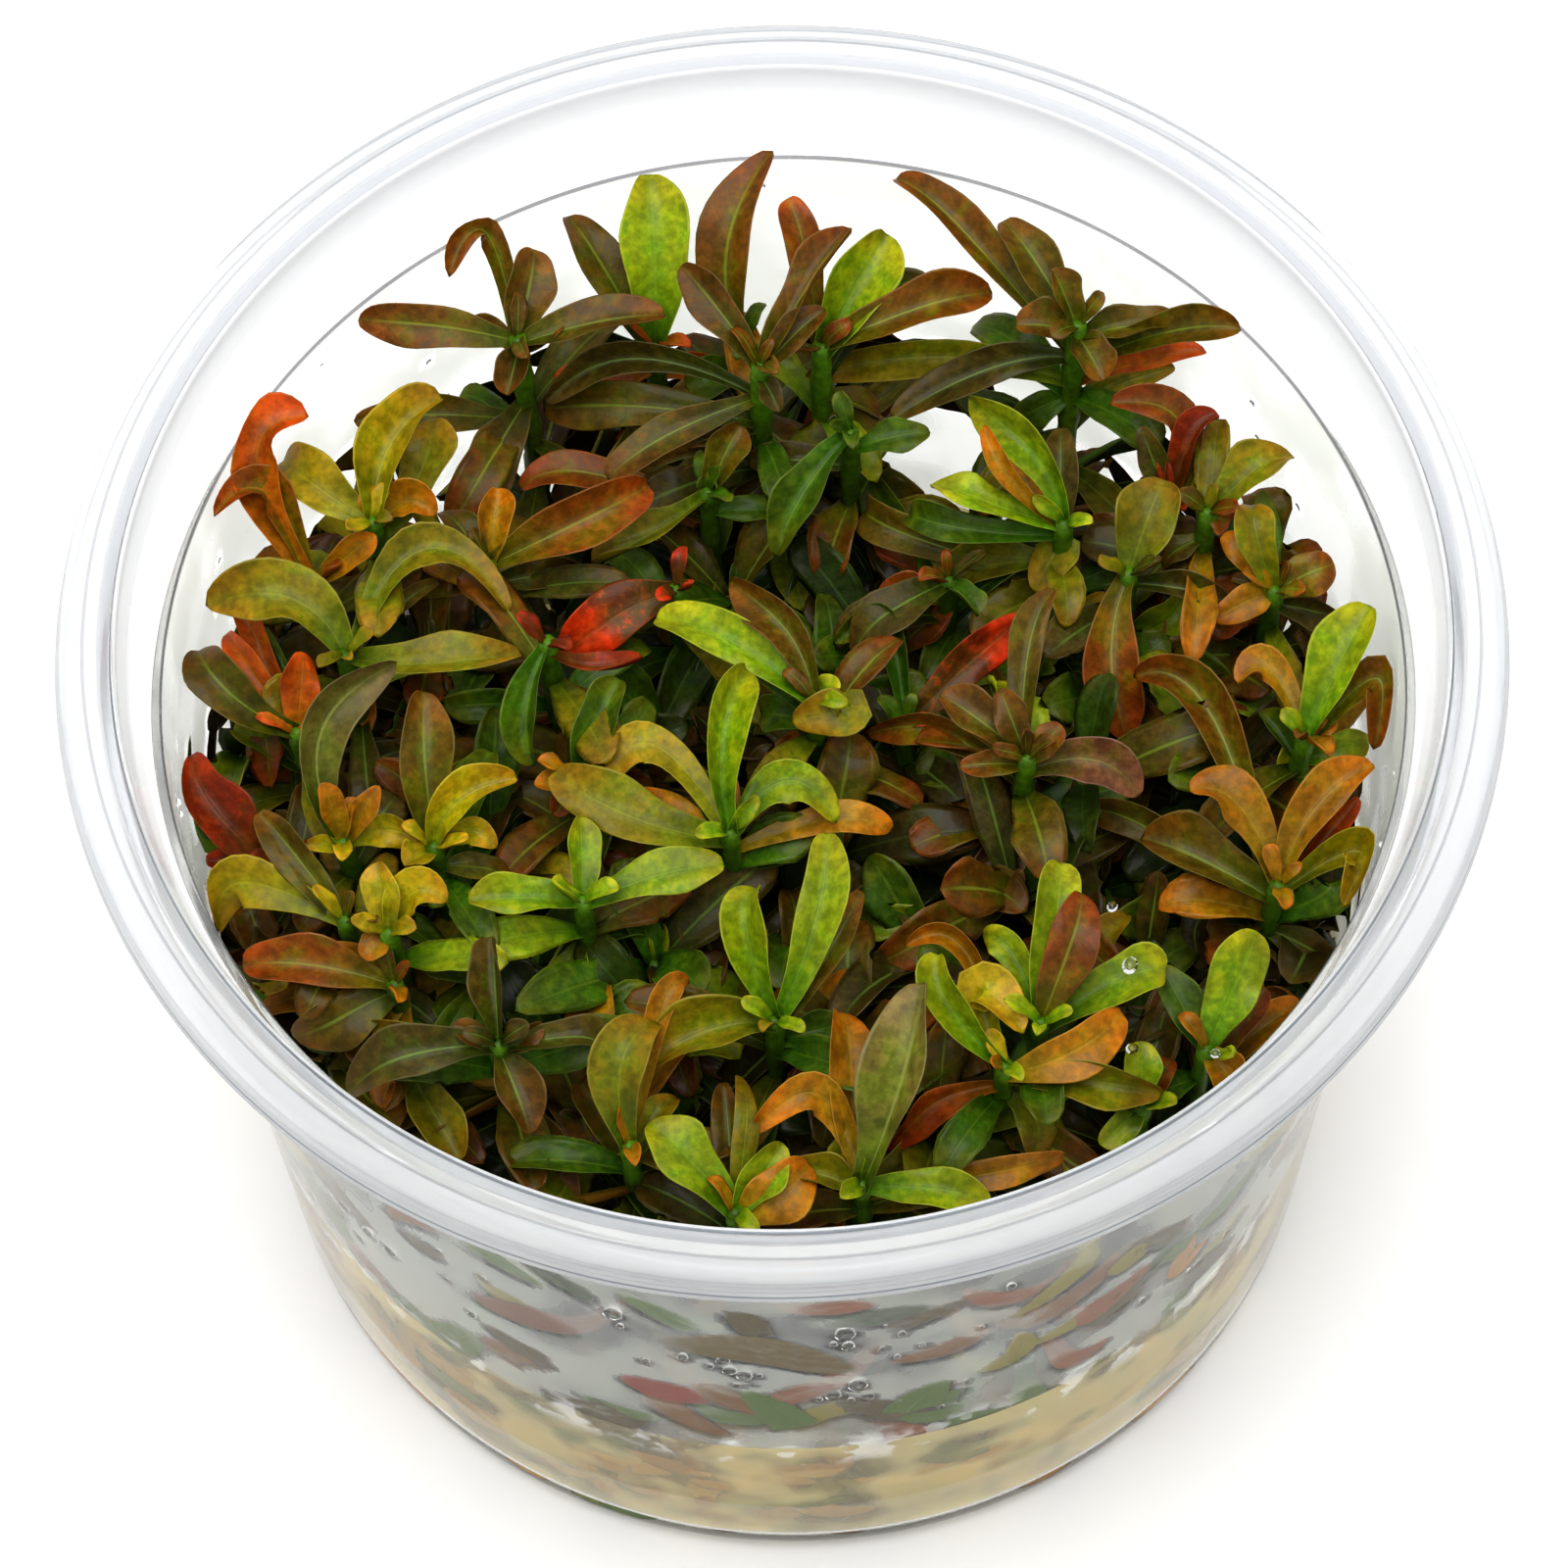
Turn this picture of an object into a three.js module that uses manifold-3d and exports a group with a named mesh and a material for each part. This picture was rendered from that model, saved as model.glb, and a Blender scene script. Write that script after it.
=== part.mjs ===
// Sunset Rotala ramosior growing in an open plastic cup: a round cup with a stepped rim, a layer of
// growing gel on its floor, and many small shoots that stand in the gel. Millimetres, +Z up. The origin
// is the middle of the cup's underside.
import * as THREE from 'three';
import { mergeVertices } from 'three/addons/utils/BufferGeometryUtils.js';
import Module from 'manifold-3d';

const wasm = await Module();
wasm.setup();

// Driving dimensions of the cup
const cupHeight = 70;
const rimRadius = 50;
const beadRadius = 49.4;
const collarTopRadius = 46.6;
const ledgeRadius = 43.9;
const ledgeHeight = 62.2;
const wallTopRadius = 43.1;
const wallFootRadius = 37.9;
const wall = 0.8;
const floorThickness = 1;
const floorCorner = 2.2;
const skirtHeight = 67.6;
const cupSides = 36;

// Driving dimensions of what grows in it
const gelHeight = 21;
const footHeight = 16.5;
const stemRadius = 0.75;
const stemSides = 4;
const leafThickness = 0.7;
const gap = 0.3;
const footSpread = 0.86;
const footLimit = 34;
const leafSpacing = 0.3;
const broadLeaf = 3;
const smallestLeaf = 1.9;
const leafRoom = leafThickness + 3 * gap;

// The picture is 1600 pixels wide. Its eye stands in front of the cup and looks down at the cup's axis.
const eye = { distance: 600, pitch: 61.45, roll: -1.86, aimX: -0.14, aimUp: 47.3, focal: 8644, middle: 800 };

// Base colours of the leaves
const toneColours = {
  lime: 0x8fa81e, green: 0x3f5f1a, yellow: 0xa8951f, olive: 0x84801f, amber: 0xb0741b, orange: 0xb8501a,
  red: 0xb03018, russet: 0x7d4528, brown: 0x7a4c22, bronze: 0x5c5322, purple: 0x5c4038, dusk: 0x4a4440,
  rose: 0x85545a, grey: 0x7d7658,
};

// Every shoot by where it stands. crown is where its top shows in the picture, up is the crown's height
// above the table. For each leaf, tip is where its end shows, bend is where its middle shows, wide is the
// blade's width, rise is how far the tip lies above the leaf's own base, below is how far under the crown
// it joins the stem. Places are picture pixels, everything else is millimetres.
const shootTable = {
  back_left_cross: { crown: [528, 345], up: 61, leaves: [
    { tip: [361, 328], wide: 3.1, rise: 1, tone: 'brown' },
    { tip: [680, 320], wide: 3.2, rise: 1, tone: 'purple' },
    { tip: [549, 252], wide: 3.5, rise: 3, tone: 'purple' },
    { tip: [518, 404], wide: 2.9, rise: 0, tone: 'purple' },
    { tip: [478, 325], wide: 2, rise: 2, tone: 'purple' },
    { tip: [576, 329], wide: 2, rise: 2, tone: 'purple' },
    { tip: [479, 515], wide: 3.9, rise: -1, below: 6, tone: 'purple' },
    { tip: [457, 280], bend: [497, 238], wide: 2.7, rise: 7, below: 3, tone: 'brown' },
    { tip: [360, 429], wide: 2.9, rise: 0, below: 8, tone: 'bronze' },
  ] },
  back_mid_cross: { crown: [775, 372], up: 62, leaves: [
    { tip: [695, 270], wide: 3.3, rise: 3, tone: 'purple' },
    { tip: [867, 230], wide: 3.3, rise: 4, tone: 'brown' },
    { tip: [842, 314], wide: 2.7, rise: 3, tone: 'purple' },
    { tip: [796, 420], wide: 2, rise: 0, tone: 'dusk' },
    { tip: [558, 414], bend: [645, 366], wide: 3.2, rise: -2, below: 3, tone: 'dusk' },
    { tip: [621, 490], bend: [675, 447], wide: 2.8, rise: -2, below: 2.5, tone: 'purple' },
    { tip: [549, 421], bend: [640, 414], wide: 3.6, rise: -2, below: 5.5, tone: 'bronze' },
    { tip: [700, 455], wide: 2.8, rise: -2, below: 6, tone: 'bronze' },
    { tip: [642, 502], bend: [690, 470], wide: 2.2, rise: -1, below: 8, tone: 'purple' },
  ] },
  back_right_cross: { crown: [1100, 330], up: 62, leaves: [
    { tip: [1024, 221], wide: 3.2, rise: 3, below: 1, tone: 'bronze' },
    { tip: [1074, 274], wide: 2.5, rise: 4, tone: 'bronze' },
    { tip: [1036, 331], wide: 2.9, rise: 1, tone: 'purple' },
    { tip: [1126, 389], wide: 3, rise: 0, tone: 'purple' },
    { tip: [1203, 331], wide: 3, rise: 1, tone: 'bronze' },
    { tip: [911, 170], bend: [985, 238], wide: 3.4, rise: 3, below: 3, tone: 'brown' },
    { tip: [909, 430], bend: [1010, 376], wide: 3.5, rise: -3, below: 2.5, tone: 'dusk' },
    { tip: [1267, 335], bend: [1195, 338], wide: 2.7, rise: 4, below: 3, tone: 'bronze' },
    { tip: [820, 386], bend: [960, 364], wide: 3.3, rise: -1, below: 5, tone: 'olive' },
    { tip: [1232, 354], wide: 2, rise: -1, below: 5, tone: 'orange' },
    { tip: [1038, 428], wide: 2.9, rise: -2, below: 6, tone: 'green' },
    { tip: [1201, 374], wide: 1.9, rise: 0, below: 7, tone: 'olive' },
    { tip: [1166, 400], wide: 1.8, rise: -1, below: 8, tone: 'brown' },
  ] },
  back_left_upright: { crown: [668, 352], up: 57, leaves: [
    { tip: [661, 176], bend: [668, 258], wide: 5, rise: 8, tone: 'lime' },
    { tip: [580, 217], bend: [615, 272], wide: 3.7, rise: 6, below: 1, tone: 'bronze' },
    { tip: [563, 402], wide: 3.6, rise: -1, below: 2, tone: 'orange' },
    { tip: [736, 374], wide: 2.6, rise: -1, below: 3, tone: 'orange' },
  ] },
  back_mid_upright: { crown: [757, 348], up: 56, leaves: [
    { tip: [789, 154], bend: [742, 253], wide: 4.2, rise: 9, tone: 'brown' },
    { tip: [700, 395], wide: 3, rise: -1, below: 3, tone: 'green' },
  ] },
  back_mid_long: { crown: [838, 352], up: 60, leaves: [
    { tip: [1016, 294], wide: 3.4, rise: 2, tone: 'brown' },
    { tip: [905, 238], wide: 4.6, rise: 4, below: 1, tone: 'lime' },
    { tip: [803, 202], bend: [822, 258], wide: 3, rise: 7, below: 2, tone: 'russet' },
    { tip: [951, 293], bend: [905, 300], wide: 2.8, rise: 4, below: 4, tone: 'dusk' },
    { tip: [900, 425], wide: 2.6, rise: -2, below: 5, tone: 'bronze' },
  ] },
  back_right_red: { crown: [1195, 512], up: 54, leaves: [
    { tip: [1132, 412], bend: [1203, 430], wide: 2.8, rise: 5, tone: 'russet' },
    { tip: [1243, 420], bend: [1213, 452], wide: 2.7, rise: 5, tone: 'red' },
    { tip: [1163, 436], wide: 2.1, rise: 5, tone: 'dusk' },
    { tip: [1230, 470], wide: 2.3, rise: 3, below: 1, tone: 'yellow' },
    { tip: [1106, 533], wide: 1.8, rise: 0, below: 3, tone: 'brown' },
  ] },
  right_olive: { crown: [1152, 583], up: 56, leaves: [
    { tip: [1188, 486], wide: 4.3, rise: 4, tone: 'olive' },
    { tip: [1152, 753], bend: [1134, 668], wide: 4, rise: -5, tone: 'russet' },
    { tip: [1262, 614], wide: 2.3, rise: 0, below: 1, tone: 'dusk' },
    { tip: [1206, 603], bend: [1188, 635], wide: 3, rise: 3, below: 8, tone: 'lime' },
    { tip: [1186, 552], wide: 2.6, rise: 2, below: 6, tone: 'bronze' },
  ] },
  right_back: { crown: [1233, 520], up: 58, leaves: [
    { tip: [1316, 453], wide: 4, rise: 3, tone: 'olive' },
    { tip: [1256, 534], wide: 2.6, rise: -0.5, tone: 'russet' },
    { tip: [1180, 575], wide: 2.4, rise: -1, below: 3, tone: 'bronze' },
  ] },
  right_orange: { crown: [1302, 600], up: 56, leaves: [
    { tip: [1362, 574], wide: 3.5, rise: 2, tone: 'brown' },
    { tip: [1278, 507], bend: [1284, 553], wide: 3, rise: 5, tone: 'olive' },
    { tip: [1236, 633], bend: [1278, 611], wide: 2.6, rise: -1, tone: 'amber' },
    { tip: [1247, 543], wide: 1.9, rise: 3, tone: 'amber' },
    { tip: [1364, 631], wide: 2.2, rise: -1, below: 1, tone: 'dusk' },
    { tip: [1256, 590], wide: 1.6, rise: 1, tone: 'bronze' },
  ] },
  right_green: { crown: [1333, 750], up: 56, leaves: [
    { tip: [1398, 617], wide: 3.9, rise: 5, tone: 'lime' },
    { tip: [1262, 696], bend: [1297, 686], wide: 2.5, rise: 2, tone: 'amber' },
    { tip: [1410, 766], bend: [1404, 692], wide: 3.6, rise: 1, below: 1, tone: 'brown' },
    { tip: [1400, 757], wide: 2.3, rise: 0, below: 3, tone: 'lime' },
    { tip: [1284, 727], wide: 2.2, rise: 1, below: 3, tone: 'green' },
    { tip: [1362, 736], wide: 1.2, rise: 2, tone: 'amber' },
  ] },
  right_amber: { crown: [1305, 902], up: 55, leaves: [
    { tip: [1214, 807], bend: [1264, 822], wide: 3.9, rise: 4, tone: 'amber' },
    { tip: [1403, 778], bend: [1340, 828], wide: 3.7, rise: 4, tone: 'amber' },
    { tip: [1163, 851], bend: [1235, 882], wide: 4.7, rise: 1, below: 2, tone: 'bronze' },
    { tip: [1386, 932], bend: [1385, 868], wide: 3.4, rise: 0, below: 1, tone: 'yellow' },
    { tip: [1156, 690], bend: [1235, 728], wide: 3.8, rise: 4, below: 3, tone: 'brown' },
    { tip: [1108, 828], bend: [1180, 850], wide: 2.6, rise: 1, below: 5, tone: 'bronze' },
    { tip: [1222, 990], bend: [1228, 935], wide: 2.7, rise: -2, below: 5, tone: 'dusk' },
    { tip: [1368, 985], wide: 3, rise: -2, below: 5, tone: 'bronze' },
    { tip: [1385, 812], wide: 1.7, rise: 4, below: 2, tone: 'orange' },
  ] },
  right_front_oval: { crown: [1232, 1070], up: 53, leaves: [
    { tip: [1286, 950], wide: 4, rise: 5, tone: 'lime' },
    { tip: [1264, 1110], wide: 3.2, rise: -1, tone: 'amber' },
    { tip: [1183, 985], wide: 2.8, rise: 3, tone: 'green' },
    { tip: [1292, 1008], wide: 3, rise: 2, below: 3, tone: 'russet' },
    { tip: [1328, 1020], wide: 2.8, rise: 1, below: 5, tone: 'amber' },
  ] },
  right_purple: { crown: [1048, 772], up: 58, leaves: [
    { tip: [959, 708], wide: 3, rise: 2, tone: 'purple' },
    { tip: [1020, 704], wide: 2.7, rise: 4, tone: 'purple' },
    { tip: [1084, 740], wide: 2.1, rise: 2, tone: 'brown' },
    { tip: [979, 782], wide: 2.1, rise: 1, tone: 'brown' },
    { tip: [1163, 809], bend: [1115, 775], wide: 3.7, rise: 0, below: 1, tone: 'rose' },
    { tip: [888, 757], bend: [955, 745], wide: 2.9, rise: -1, below: 3, tone: 'brown' },
    { tip: [945, 978], bend: [1008, 893], wide: 3.9, rise: -3, below: 8, tone: 'rose' },
    { tip: [1076, 600], bend: [1048, 672], wide: 2.8, rise: 5, below: 2, tone: 'bronze' },
  ] },
  mid_red: { crown: [925, 738], up: 53, leaves: [
    { tip: [1046, 630], bend: [985, 680], wide: 3.7, rise: 3, tone: 'red' },
    { tip: [862, 656], bend: [905, 640], wide: 3, rise: 2, below: 2, tone: 'green' },
  ] },
  mid_green_fan: { crown: [1086, 532], up: 58, leaves: [
    { tip: [978, 417], bend: [1050, 456], wide: 3.5, rise: 4, tone: 'lime' },
    { tip: [951, 487], bend: [1008, 513], wide: 3.2, rise: 2, tone: 'lime' },
    { tip: [1004, 432], bend: [1030, 488], wide: 1.5, rise: 5, tone: 'amber' },
    { tip: [908, 513], bend: [975, 538], wide: 2.8, rise: 0, below: 1, tone: 'green' },
    { tip: [1052, 600], bend: [1082, 556], wide: 3.4, rise: -2, below: 1, tone: 'olive' },
    { tip: [958, 601], bend: [1010, 577], wide: 3.5, rise: -2, below: 4, tone: 'olive' },
    { tip: [861, 507], bend: [925, 545], wide: 3.4, rise: -1, below: 6, tone: 'bronze' },
    { tip: [1082, 432], wide: 2.7, rise: 4, below: 3, tone: 'dusk' },
  ] },
  mid_dark: { crown: [968, 590], up: 54, leaves: [
    { tip: [861, 656], wide: 3.5, rise: 0, tone: 'dusk' },
    { tip: [1000, 626], wide: 2.6, rise: 1, tone: 'green' },
    { tip: [893, 604], wide: 2.4, rise: 1, below: 3, tone: 'russet' },
    { tip: [880, 480], wide: 3, rise: 0, below: 5, tone: 'green' },
  ] },
  mid_drooping: { crown: [868, 440], up: 58, leaves: [
    { tip: [789, 568], bend: [822, 500], wide: 3.9, rise: -4, tone: 'green' },
    { tip: [950, 440], wide: 2.8, rise: 1, below: 2, tone: 'green' },
    { tip: [760, 470], wide: 2.6, rise: -1, below: 4, tone: 'dusk' },
  ] },
  mid_green: { crown: [832, 714], up: 58, leaves: [
    { tip: [664, 622], bend: [748, 655], wide: 4.2, rise: 1, tone: 'lime' },
    { tip: [733, 597], bend: [800, 640], wide: 3.3, rise: 3, tone: 'purple' },
    { tip: [808, 735], bend: [866, 722], wide: 3.6, rise: 1, tone: 'olive' },
    { tip: [698, 603], bend: [772, 665], wide: 3, rise: -1, below: 2, tone: 'green' },
    { tip: [768, 728], wide: 2.7, rise: -1, below: 2, tone: 'green' },
    { tip: [853, 690], wide: 1.8, rise: 2, tone: 'lime' },
    { tip: [757, 788], wide: 2.6, rise: -1, below: 6, tone: 'dusk' },
  ] },
  mid_arch: { crown: [745, 848], up: 57, leaves: [
    { tip: [771, 677], bend: [737, 748], wide: 3.9, rise: 5, tone: 'lime' },
    { tip: [856, 830], bend: [800, 797], wide: 3.6, rise: 1, tone: 'lime' },
    { tip: [563, 784], bend: [640, 832], wide: 4.3, rise: 2, below: 1, tone: 'olive' },
    { tip: [622, 790], bend: [672, 762], wide: 3, rise: 2, tone: 'yellow' },
    { tip: [912, 848], bend: [850, 836], wide: 2.3, rise: 0, below: 2, tone: 'amber' },
    { tip: [645, 806], wide: 2.3, rise: 0, below: 1, tone: 'amber' },
    { tip: [822, 860], wide: 2.6, rise: 0, below: 4, tone: 'green' },
    { tip: [703, 778], wide: 2.4, rise: 2, below: 1, tone: 'green' },
  ] },
  centre_green: { crown: [594, 918], up: 57, leaves: [
    { tip: [477, 920], wide: 3.6, rise: 1, tone: 'lime' },
    { tip: [739, 883], bend: [672, 893], wide: 3.5, rise: 1, tone: 'lime' },
    { tip: [592, 832], wide: 2.6, rise: 2, tone: 'lime' },
    { tip: [583, 1042], bend: [584, 985], wide: 3.3, rise: -1, below: 6, tone: 'lime' },
    { tip: [660, 955], wide: 2.2, rise: -1, below: 5, tone: 'green' },
  ] },
  front_pair: { crown: [790, 1040], up: 56, leaves: [
    { tip: [763, 893], bend: [763, 955], wide: 3.7, rise: 6, tone: 'lime' },
    { tip: [843, 848], bend: [832, 940], wide: 4, rise: 6, tone: 'lime' },
    { tip: [656, 1088], bend: [728, 1050], wide: 4.9, rise: 0, tone: 'olive' },
    { tip: [882, 902], bend: [838, 985], wide: 2.2, rise: 4, below: 1, tone: 'bronze' },
    { tip: [863, 1045], wide: 2.8, rise: 0, below: 3, tone: 'green' },
    { tip: [770, 1002], wide: 1.6, rise: 2, tone: 'brown' },
  ] },
  front_right_fan: { crown: [1025, 1087], up: 55, leaves: [
    { tip: [957, 973], bend: [968, 1025], wide: 3, rise: 4, tone: 'lime' },
    { tip: [1046, 1046], bend: [1000, 1012], wide: 3.3, rise: 3, tone: 'yellow' },
    { tip: [925, 965], bend: [985, 970], wide: 2.2, rise: 4, below: 1, tone: 'amber' },
    { tip: [1150, 1032], bend: [1090, 1075], wide: 3.5, rise: 2, tone: 'amber' },
    { tip: [1187, 1118], bend: [1115, 1103], wide: 3.4, rise: 0, below: 1, tone: 'olive' },
    { tip: [922, 1177], bend: [950, 1128], wide: 3.4, rise: -2, below: 2, tone: 'orange' },
    { tip: [1062, 1182], bend: [1055, 1140], wide: 3.1, rise: -2, below: 3, tone: 'olive' },
  ] },
  front_right_upright: { crown: [1062, 1042], up: 56, leaves: [
    { tip: [1113, 902], bend: [1090, 970], wide: 3.8, rise: 6, tone: 'russet' },
    { tip: [1087, 873], bend: [1075, 950], wide: 3.3, rise: 5, below: 1, tone: 'lime' },
    { tip: [1193, 988], bend: [1145, 1000], wide: 3.6, rise: 1, below: 1, tone: 'lime' },
    { tip: [1002, 953], bend: [1035, 975], wide: 2.8, rise: 4, tone: 'lime' },
    { tip: [1150, 925], wide: 2.8, rise: 1, below: 4, tone: 'olive' },
  ] },
  front_right_cup: { crown: [1166, 1128], up: 51, leaves: [
    { tip: [1165, 1062], wide: 2.8, rise: 3, tone: 'lime' },
    { tip: [1122, 1168], wide: 2.6, rise: 0, tone: 'lime' },
    { tip: [1195, 1075], wide: 2, rise: 2, below: 2, tone: 'russet' },
  ] },
  front_grey_paddle: { crown: [880, 1207], up: 52, leaves: [
    { tip: [945, 1003], bend: [918, 1110], wide: 5, rise: 9, tone: 'grey' },
    { tip: [779, 1151], bend: [838, 1118], wide: 2.7, rise: 4, tone: 'amber' },
    { tip: [1013, 1226], bend: [945, 1212], wide: 3.1, rise: 0, tone: 'lime' },
    { tip: [808, 1191], wide: 3, rise: 1, tone: 'olive' },
    { tip: [872, 1021], bend: [868, 1100], wide: 3.7, rise: 6, below: 1, tone: 'amber' },
    { tip: [1089, 1180], bend: [1010, 1197], wide: 2.7, rise: 0, below: 1, tone: 'amber' },
    { tip: [951, 1167], wide: 2.6, rise: 0, below: 3, tone: 'olive' },
  ] },
  front_mid: { crown: [750, 1236], up: 52, leaves: [
    { tip: [663, 1142], wide: 4.3, rise: 4, tone: 'lime' },
    { tip: [801, 1167], wide: 3.1, rise: 3, tone: 'lime' },
    { tip: [829, 1187], bend: [792, 1222], wide: 4.3, rise: 1, tone: 'amber' },
    { tip: [585, 1181], bend: [645, 1178], wide: 2.4, rise: -1, below: 5, tone: 'yellow' },
    { tip: [739, 1104], wide: 2.8, rise: 4, below: 2, tone: 'bronze' },
    { tip: [769, 1090], wide: 1.8, rise: 5, tone: 'olive' },
  ] },
  front_left_brown: { crown: [642, 1168], up: 54, leaves: [
    { tip: [667, 1027], bend: [633, 1092], wide: 3.8, rise: 6, tone: 'olive' },
    { tip: [698, 1000], bend: [672, 1040], wide: 1.8, rise: 6, below: 1, tone: 'amber' },
    { tip: [688, 1112], wide: 2.4, rise: 2, below: 2, tone: 'olive' },
    { tip: [590, 1100], wide: 2.8, rise: 1, below: 4, tone: 'bronze' },
  ] },
  front_left_cross: { crown: [508, 1064], up: 57, leaves: [
    { tip: [503, 956], wide: 3.1, rise: 3, tone: 'dusk' },
    { tip: [345, 1108], bend: [425, 1075], wide: 3.7, rise: 0, tone: 'dusk' },
    { tip: [637, 1064], bend: [580, 1058], wide: 2.7, rise: 0, tone: 'dusk' },
    { tip: [542, 1157], wide: 3.3, rise: -1, tone: 'purple' },
    { tip: [461, 1046], wide: 2.2, rise: 2, tone: 'purple' },
    { tip: [554, 1046], wide: 2.2, rise: 2, tone: 'purple' },
    { tip: [585, 1234], wide: 3.6, rise: -1, below: 7, tone: 'purple' },
    { tip: [372, 1046], wide: 2.5, rise: 0, below: 3, tone: 'olive' },
  ] },
  front_left_olive: { crown: [418, 1094], up: 51, leaves: [
    { tip: [470, 1185], wide: 3.6, rise: -1, tone: 'olive' },
    { tip: [402, 1144], wide: 2.2, rise: -1, tone: 'amber' },
    { tip: [485, 1010], wide: 2.4, rise: 2, below: 2, tone: 'green' },
  ] },
  left_front_rust: { crown: [402, 1003], up: 53.5, leaves: [
    { tip: [238, 985], bend: [320, 985], wide: 3.8, rise: 1, tone: 'russet' },
    { tip: [300, 1068], wide: 4, rise: -1, below: 1, tone: 'bronze' },
    { tip: [262, 1030], bend: [330, 1015], wide: 3, rise: -1, below: 4, tone: 'amber' },
    { tip: [262, 940], bend: [325, 955], wide: 2.6, rise: -2, below: 6, tone: 'bronze' },
  ] },
  left_yellow_fold: { crown: [352, 937], up: 56, leaves: [
    { tip: [222, 948], bend: [248, 900], wide: 4, rise: -1, tone: 'yellow' },
    { tip: [265, 828], wide: 3.5, rise: 2, below: 1, tone: 'bronze' },
  ] },
  left_red: { crown: [290, 885], up: 52, leaves: [
    { tip: [172, 767], bend: [222, 832], wide: 4.4, rise: 4, tone: 'red' },
    { tip: [200, 880], wide: 1.8, rise: 1, tone: 'red' },
  ] },
  left_front_yellow: { crown: [396, 950], up: 57, leaves: [
    { tip: [385, 879], wide: 3.3, rise: 3, tone: 'yellow' },
    { tip: [453, 914], bend: [420, 912], wide: 3.2, rise: 3, tone: 'yellow' },
    { tip: [368, 976], wide: 2.1, rise: 0, tone: 'amber' },
  ] },
  left_curl: { crown: [350, 857], up: 57, leaves: [
    { tip: [330, 800], wide: 2, rise: 5, tone: 'amber' },
    { tip: [386, 803], wide: 2.5, rise: 4, tone: 'amber' },
    { tip: [426, 860], bend: [392, 846], wide: 2.5, rise: 1, tone: 'yellow' },
    { tip: [408, 681], bend: [326, 752], wide: 3.5, rise: 8, below: 1, tone: 'grey' },
    { tip: [312, 862], wide: 1.5, rise: 1, tone: 'yellow' },
  ] },
  left_mid_yellow: { crown: [442, 862], up: 57, leaves: [
    { tip: [529, 793], bend: [468, 818], wide: 3.4, rise: 3, tone: 'yellow' },
    { tip: [412, 883], wide: 2.4, rise: 0, tone: 'yellow' },
    { tip: [504, 863], bend: [478, 848], wide: 2.3, rise: 1, tone: 'yellow' },
    { tip: [432, 706], bend: [434, 785], wide: 3.9, rise: 6, below: 2, tone: 'bronze' },
    { tip: [530, 892], wide: 2.2, rise: -1, below: 2, tone: 'bronze' },
    { tip: [500, 760], wide: 2.8, rise: 3, below: 4, tone: 'green' },
  ] },
  mid_hanging: { crown: [558, 655], up: 59, leaves: [
    { tip: [543, 783], bend: [538, 722], wide: 3, rise: -4, tone: 'green' },
    { tip: [655, 666], bend: [610, 680], wide: 2.4, rise: 0, below: 1, tone: 'red' },
  ] },
  mid_speckled: { crown: [690, 600], up: 54, leaves: [
    { tip: [578, 670], bend: [630, 628], wide: 4.4, rise: -1, tone: 'orange' },
  ] },
  mid_low_green: { crown: [588, 795], up: 55, leaves: [
    { tip: [632, 690], wide: 3.2, rise: 3, tone: 'green' },
    { tip: [545, 800], wide: 1.8, rise: 1, tone: 'amber' },
    { tip: [565, 832], wide: 2, rise: 0, below: 1, tone: 'russet' },
  ] },
  left_spread: { crown: [352, 668], up: 58, leaves: [
    { tip: [534, 660], bend: [445, 677], wide: 3.9, rise: 1, tone: 'olive' },
    { tip: [207, 612], bend: [300, 612], wide: 4.4, rise: 3, tone: 'olive' },
    { tip: [526, 612], bend: [428, 562], wide: 3.4, rise: 2, below: 1, tone: 'olive' },
    { tip: [450, 592], bend: [395, 630], wide: 1.3, rise: 1, below: 2, tone: 'dusk' },
  ] },
  left_wall: { crown: [302, 745], up: 55, leaves: [
    { tip: [197, 648], bend: [232, 705], wide: 3.9, rise: 4, tone: 'bronze' },
    { tip: [311, 665], wide: 2.9, rise: 4, tone: 'orange' },
    { tip: [222, 640], wide: 2.4, rise: 3, below: 1, tone: 'orange' },
    { tip: [252, 648], wide: 2.2, rise: 3, below: 3, tone: 'red' },
    { tip: [238, 745], wide: 3.3, rise: 0, below: 5, tone: 'lime' },
    { tip: [266, 798], wide: 2.5, rise: -1, below: 7, tone: 'orange' },
    { tip: [226, 573], wide: 2, rise: 6, below: 3, tone: 'orange' },
  ] },
  left_upper: { crown: [318, 592], up: 57, leaves: [
    { tip: [314, 421], bend: [262, 470], wide: 3.7, rise: 6, tone: 'orange' },
    { tip: [217, 525], bend: [273, 503], wide: 3.6, rise: 4, tone: 'russet' },
    { tip: [384, 546], wide: 2.1, rise: 4, tone: 'amber' },
  ] },
  left_olive: { crown: [380, 530], up: 60, leaves: [
    { tip: [452, 403], bend: [398, 455], wide: 4.2, rise: 3, tone: 'yellow' },
    { tip: [278, 461], bend: [322, 496], wide: 3.9, rise: 2, tone: 'yellow' },
    { tip: [441, 427], bend: [430, 482], wide: 3.6, rise: 3, below: 2, tone: 'olive' },
    { tip: [440, 523], bend: [415, 512], wide: 2.9, rise: 2, tone: 'amber' },
    { tip: [373, 496], wide: 1.6, rise: 3, tone: 'amber' },
  ] },
  left_russet: { crown: [498, 574], up: 56, leaves: [
    { tip: [673, 492], bend: [590, 533], wide: 4.3, rise: 3, tone: 'russet' },
    { tip: [508, 497], wide: 2.9, rise: 3, tone: 'amber' },
    { tip: [452, 512], wide: 2.3, rise: 2, below: 1, tone: 'bronze' },
    { tip: [600, 587], wide: 2.4, rise: -1, below: 2, tone: 'bronze' },
  ] },
  back_mid_low: { crown: [722, 500], up: 54, leaves: [
    { tip: [756, 433], wide: 2.9, rise: 3, tone: 'bronze' },
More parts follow.
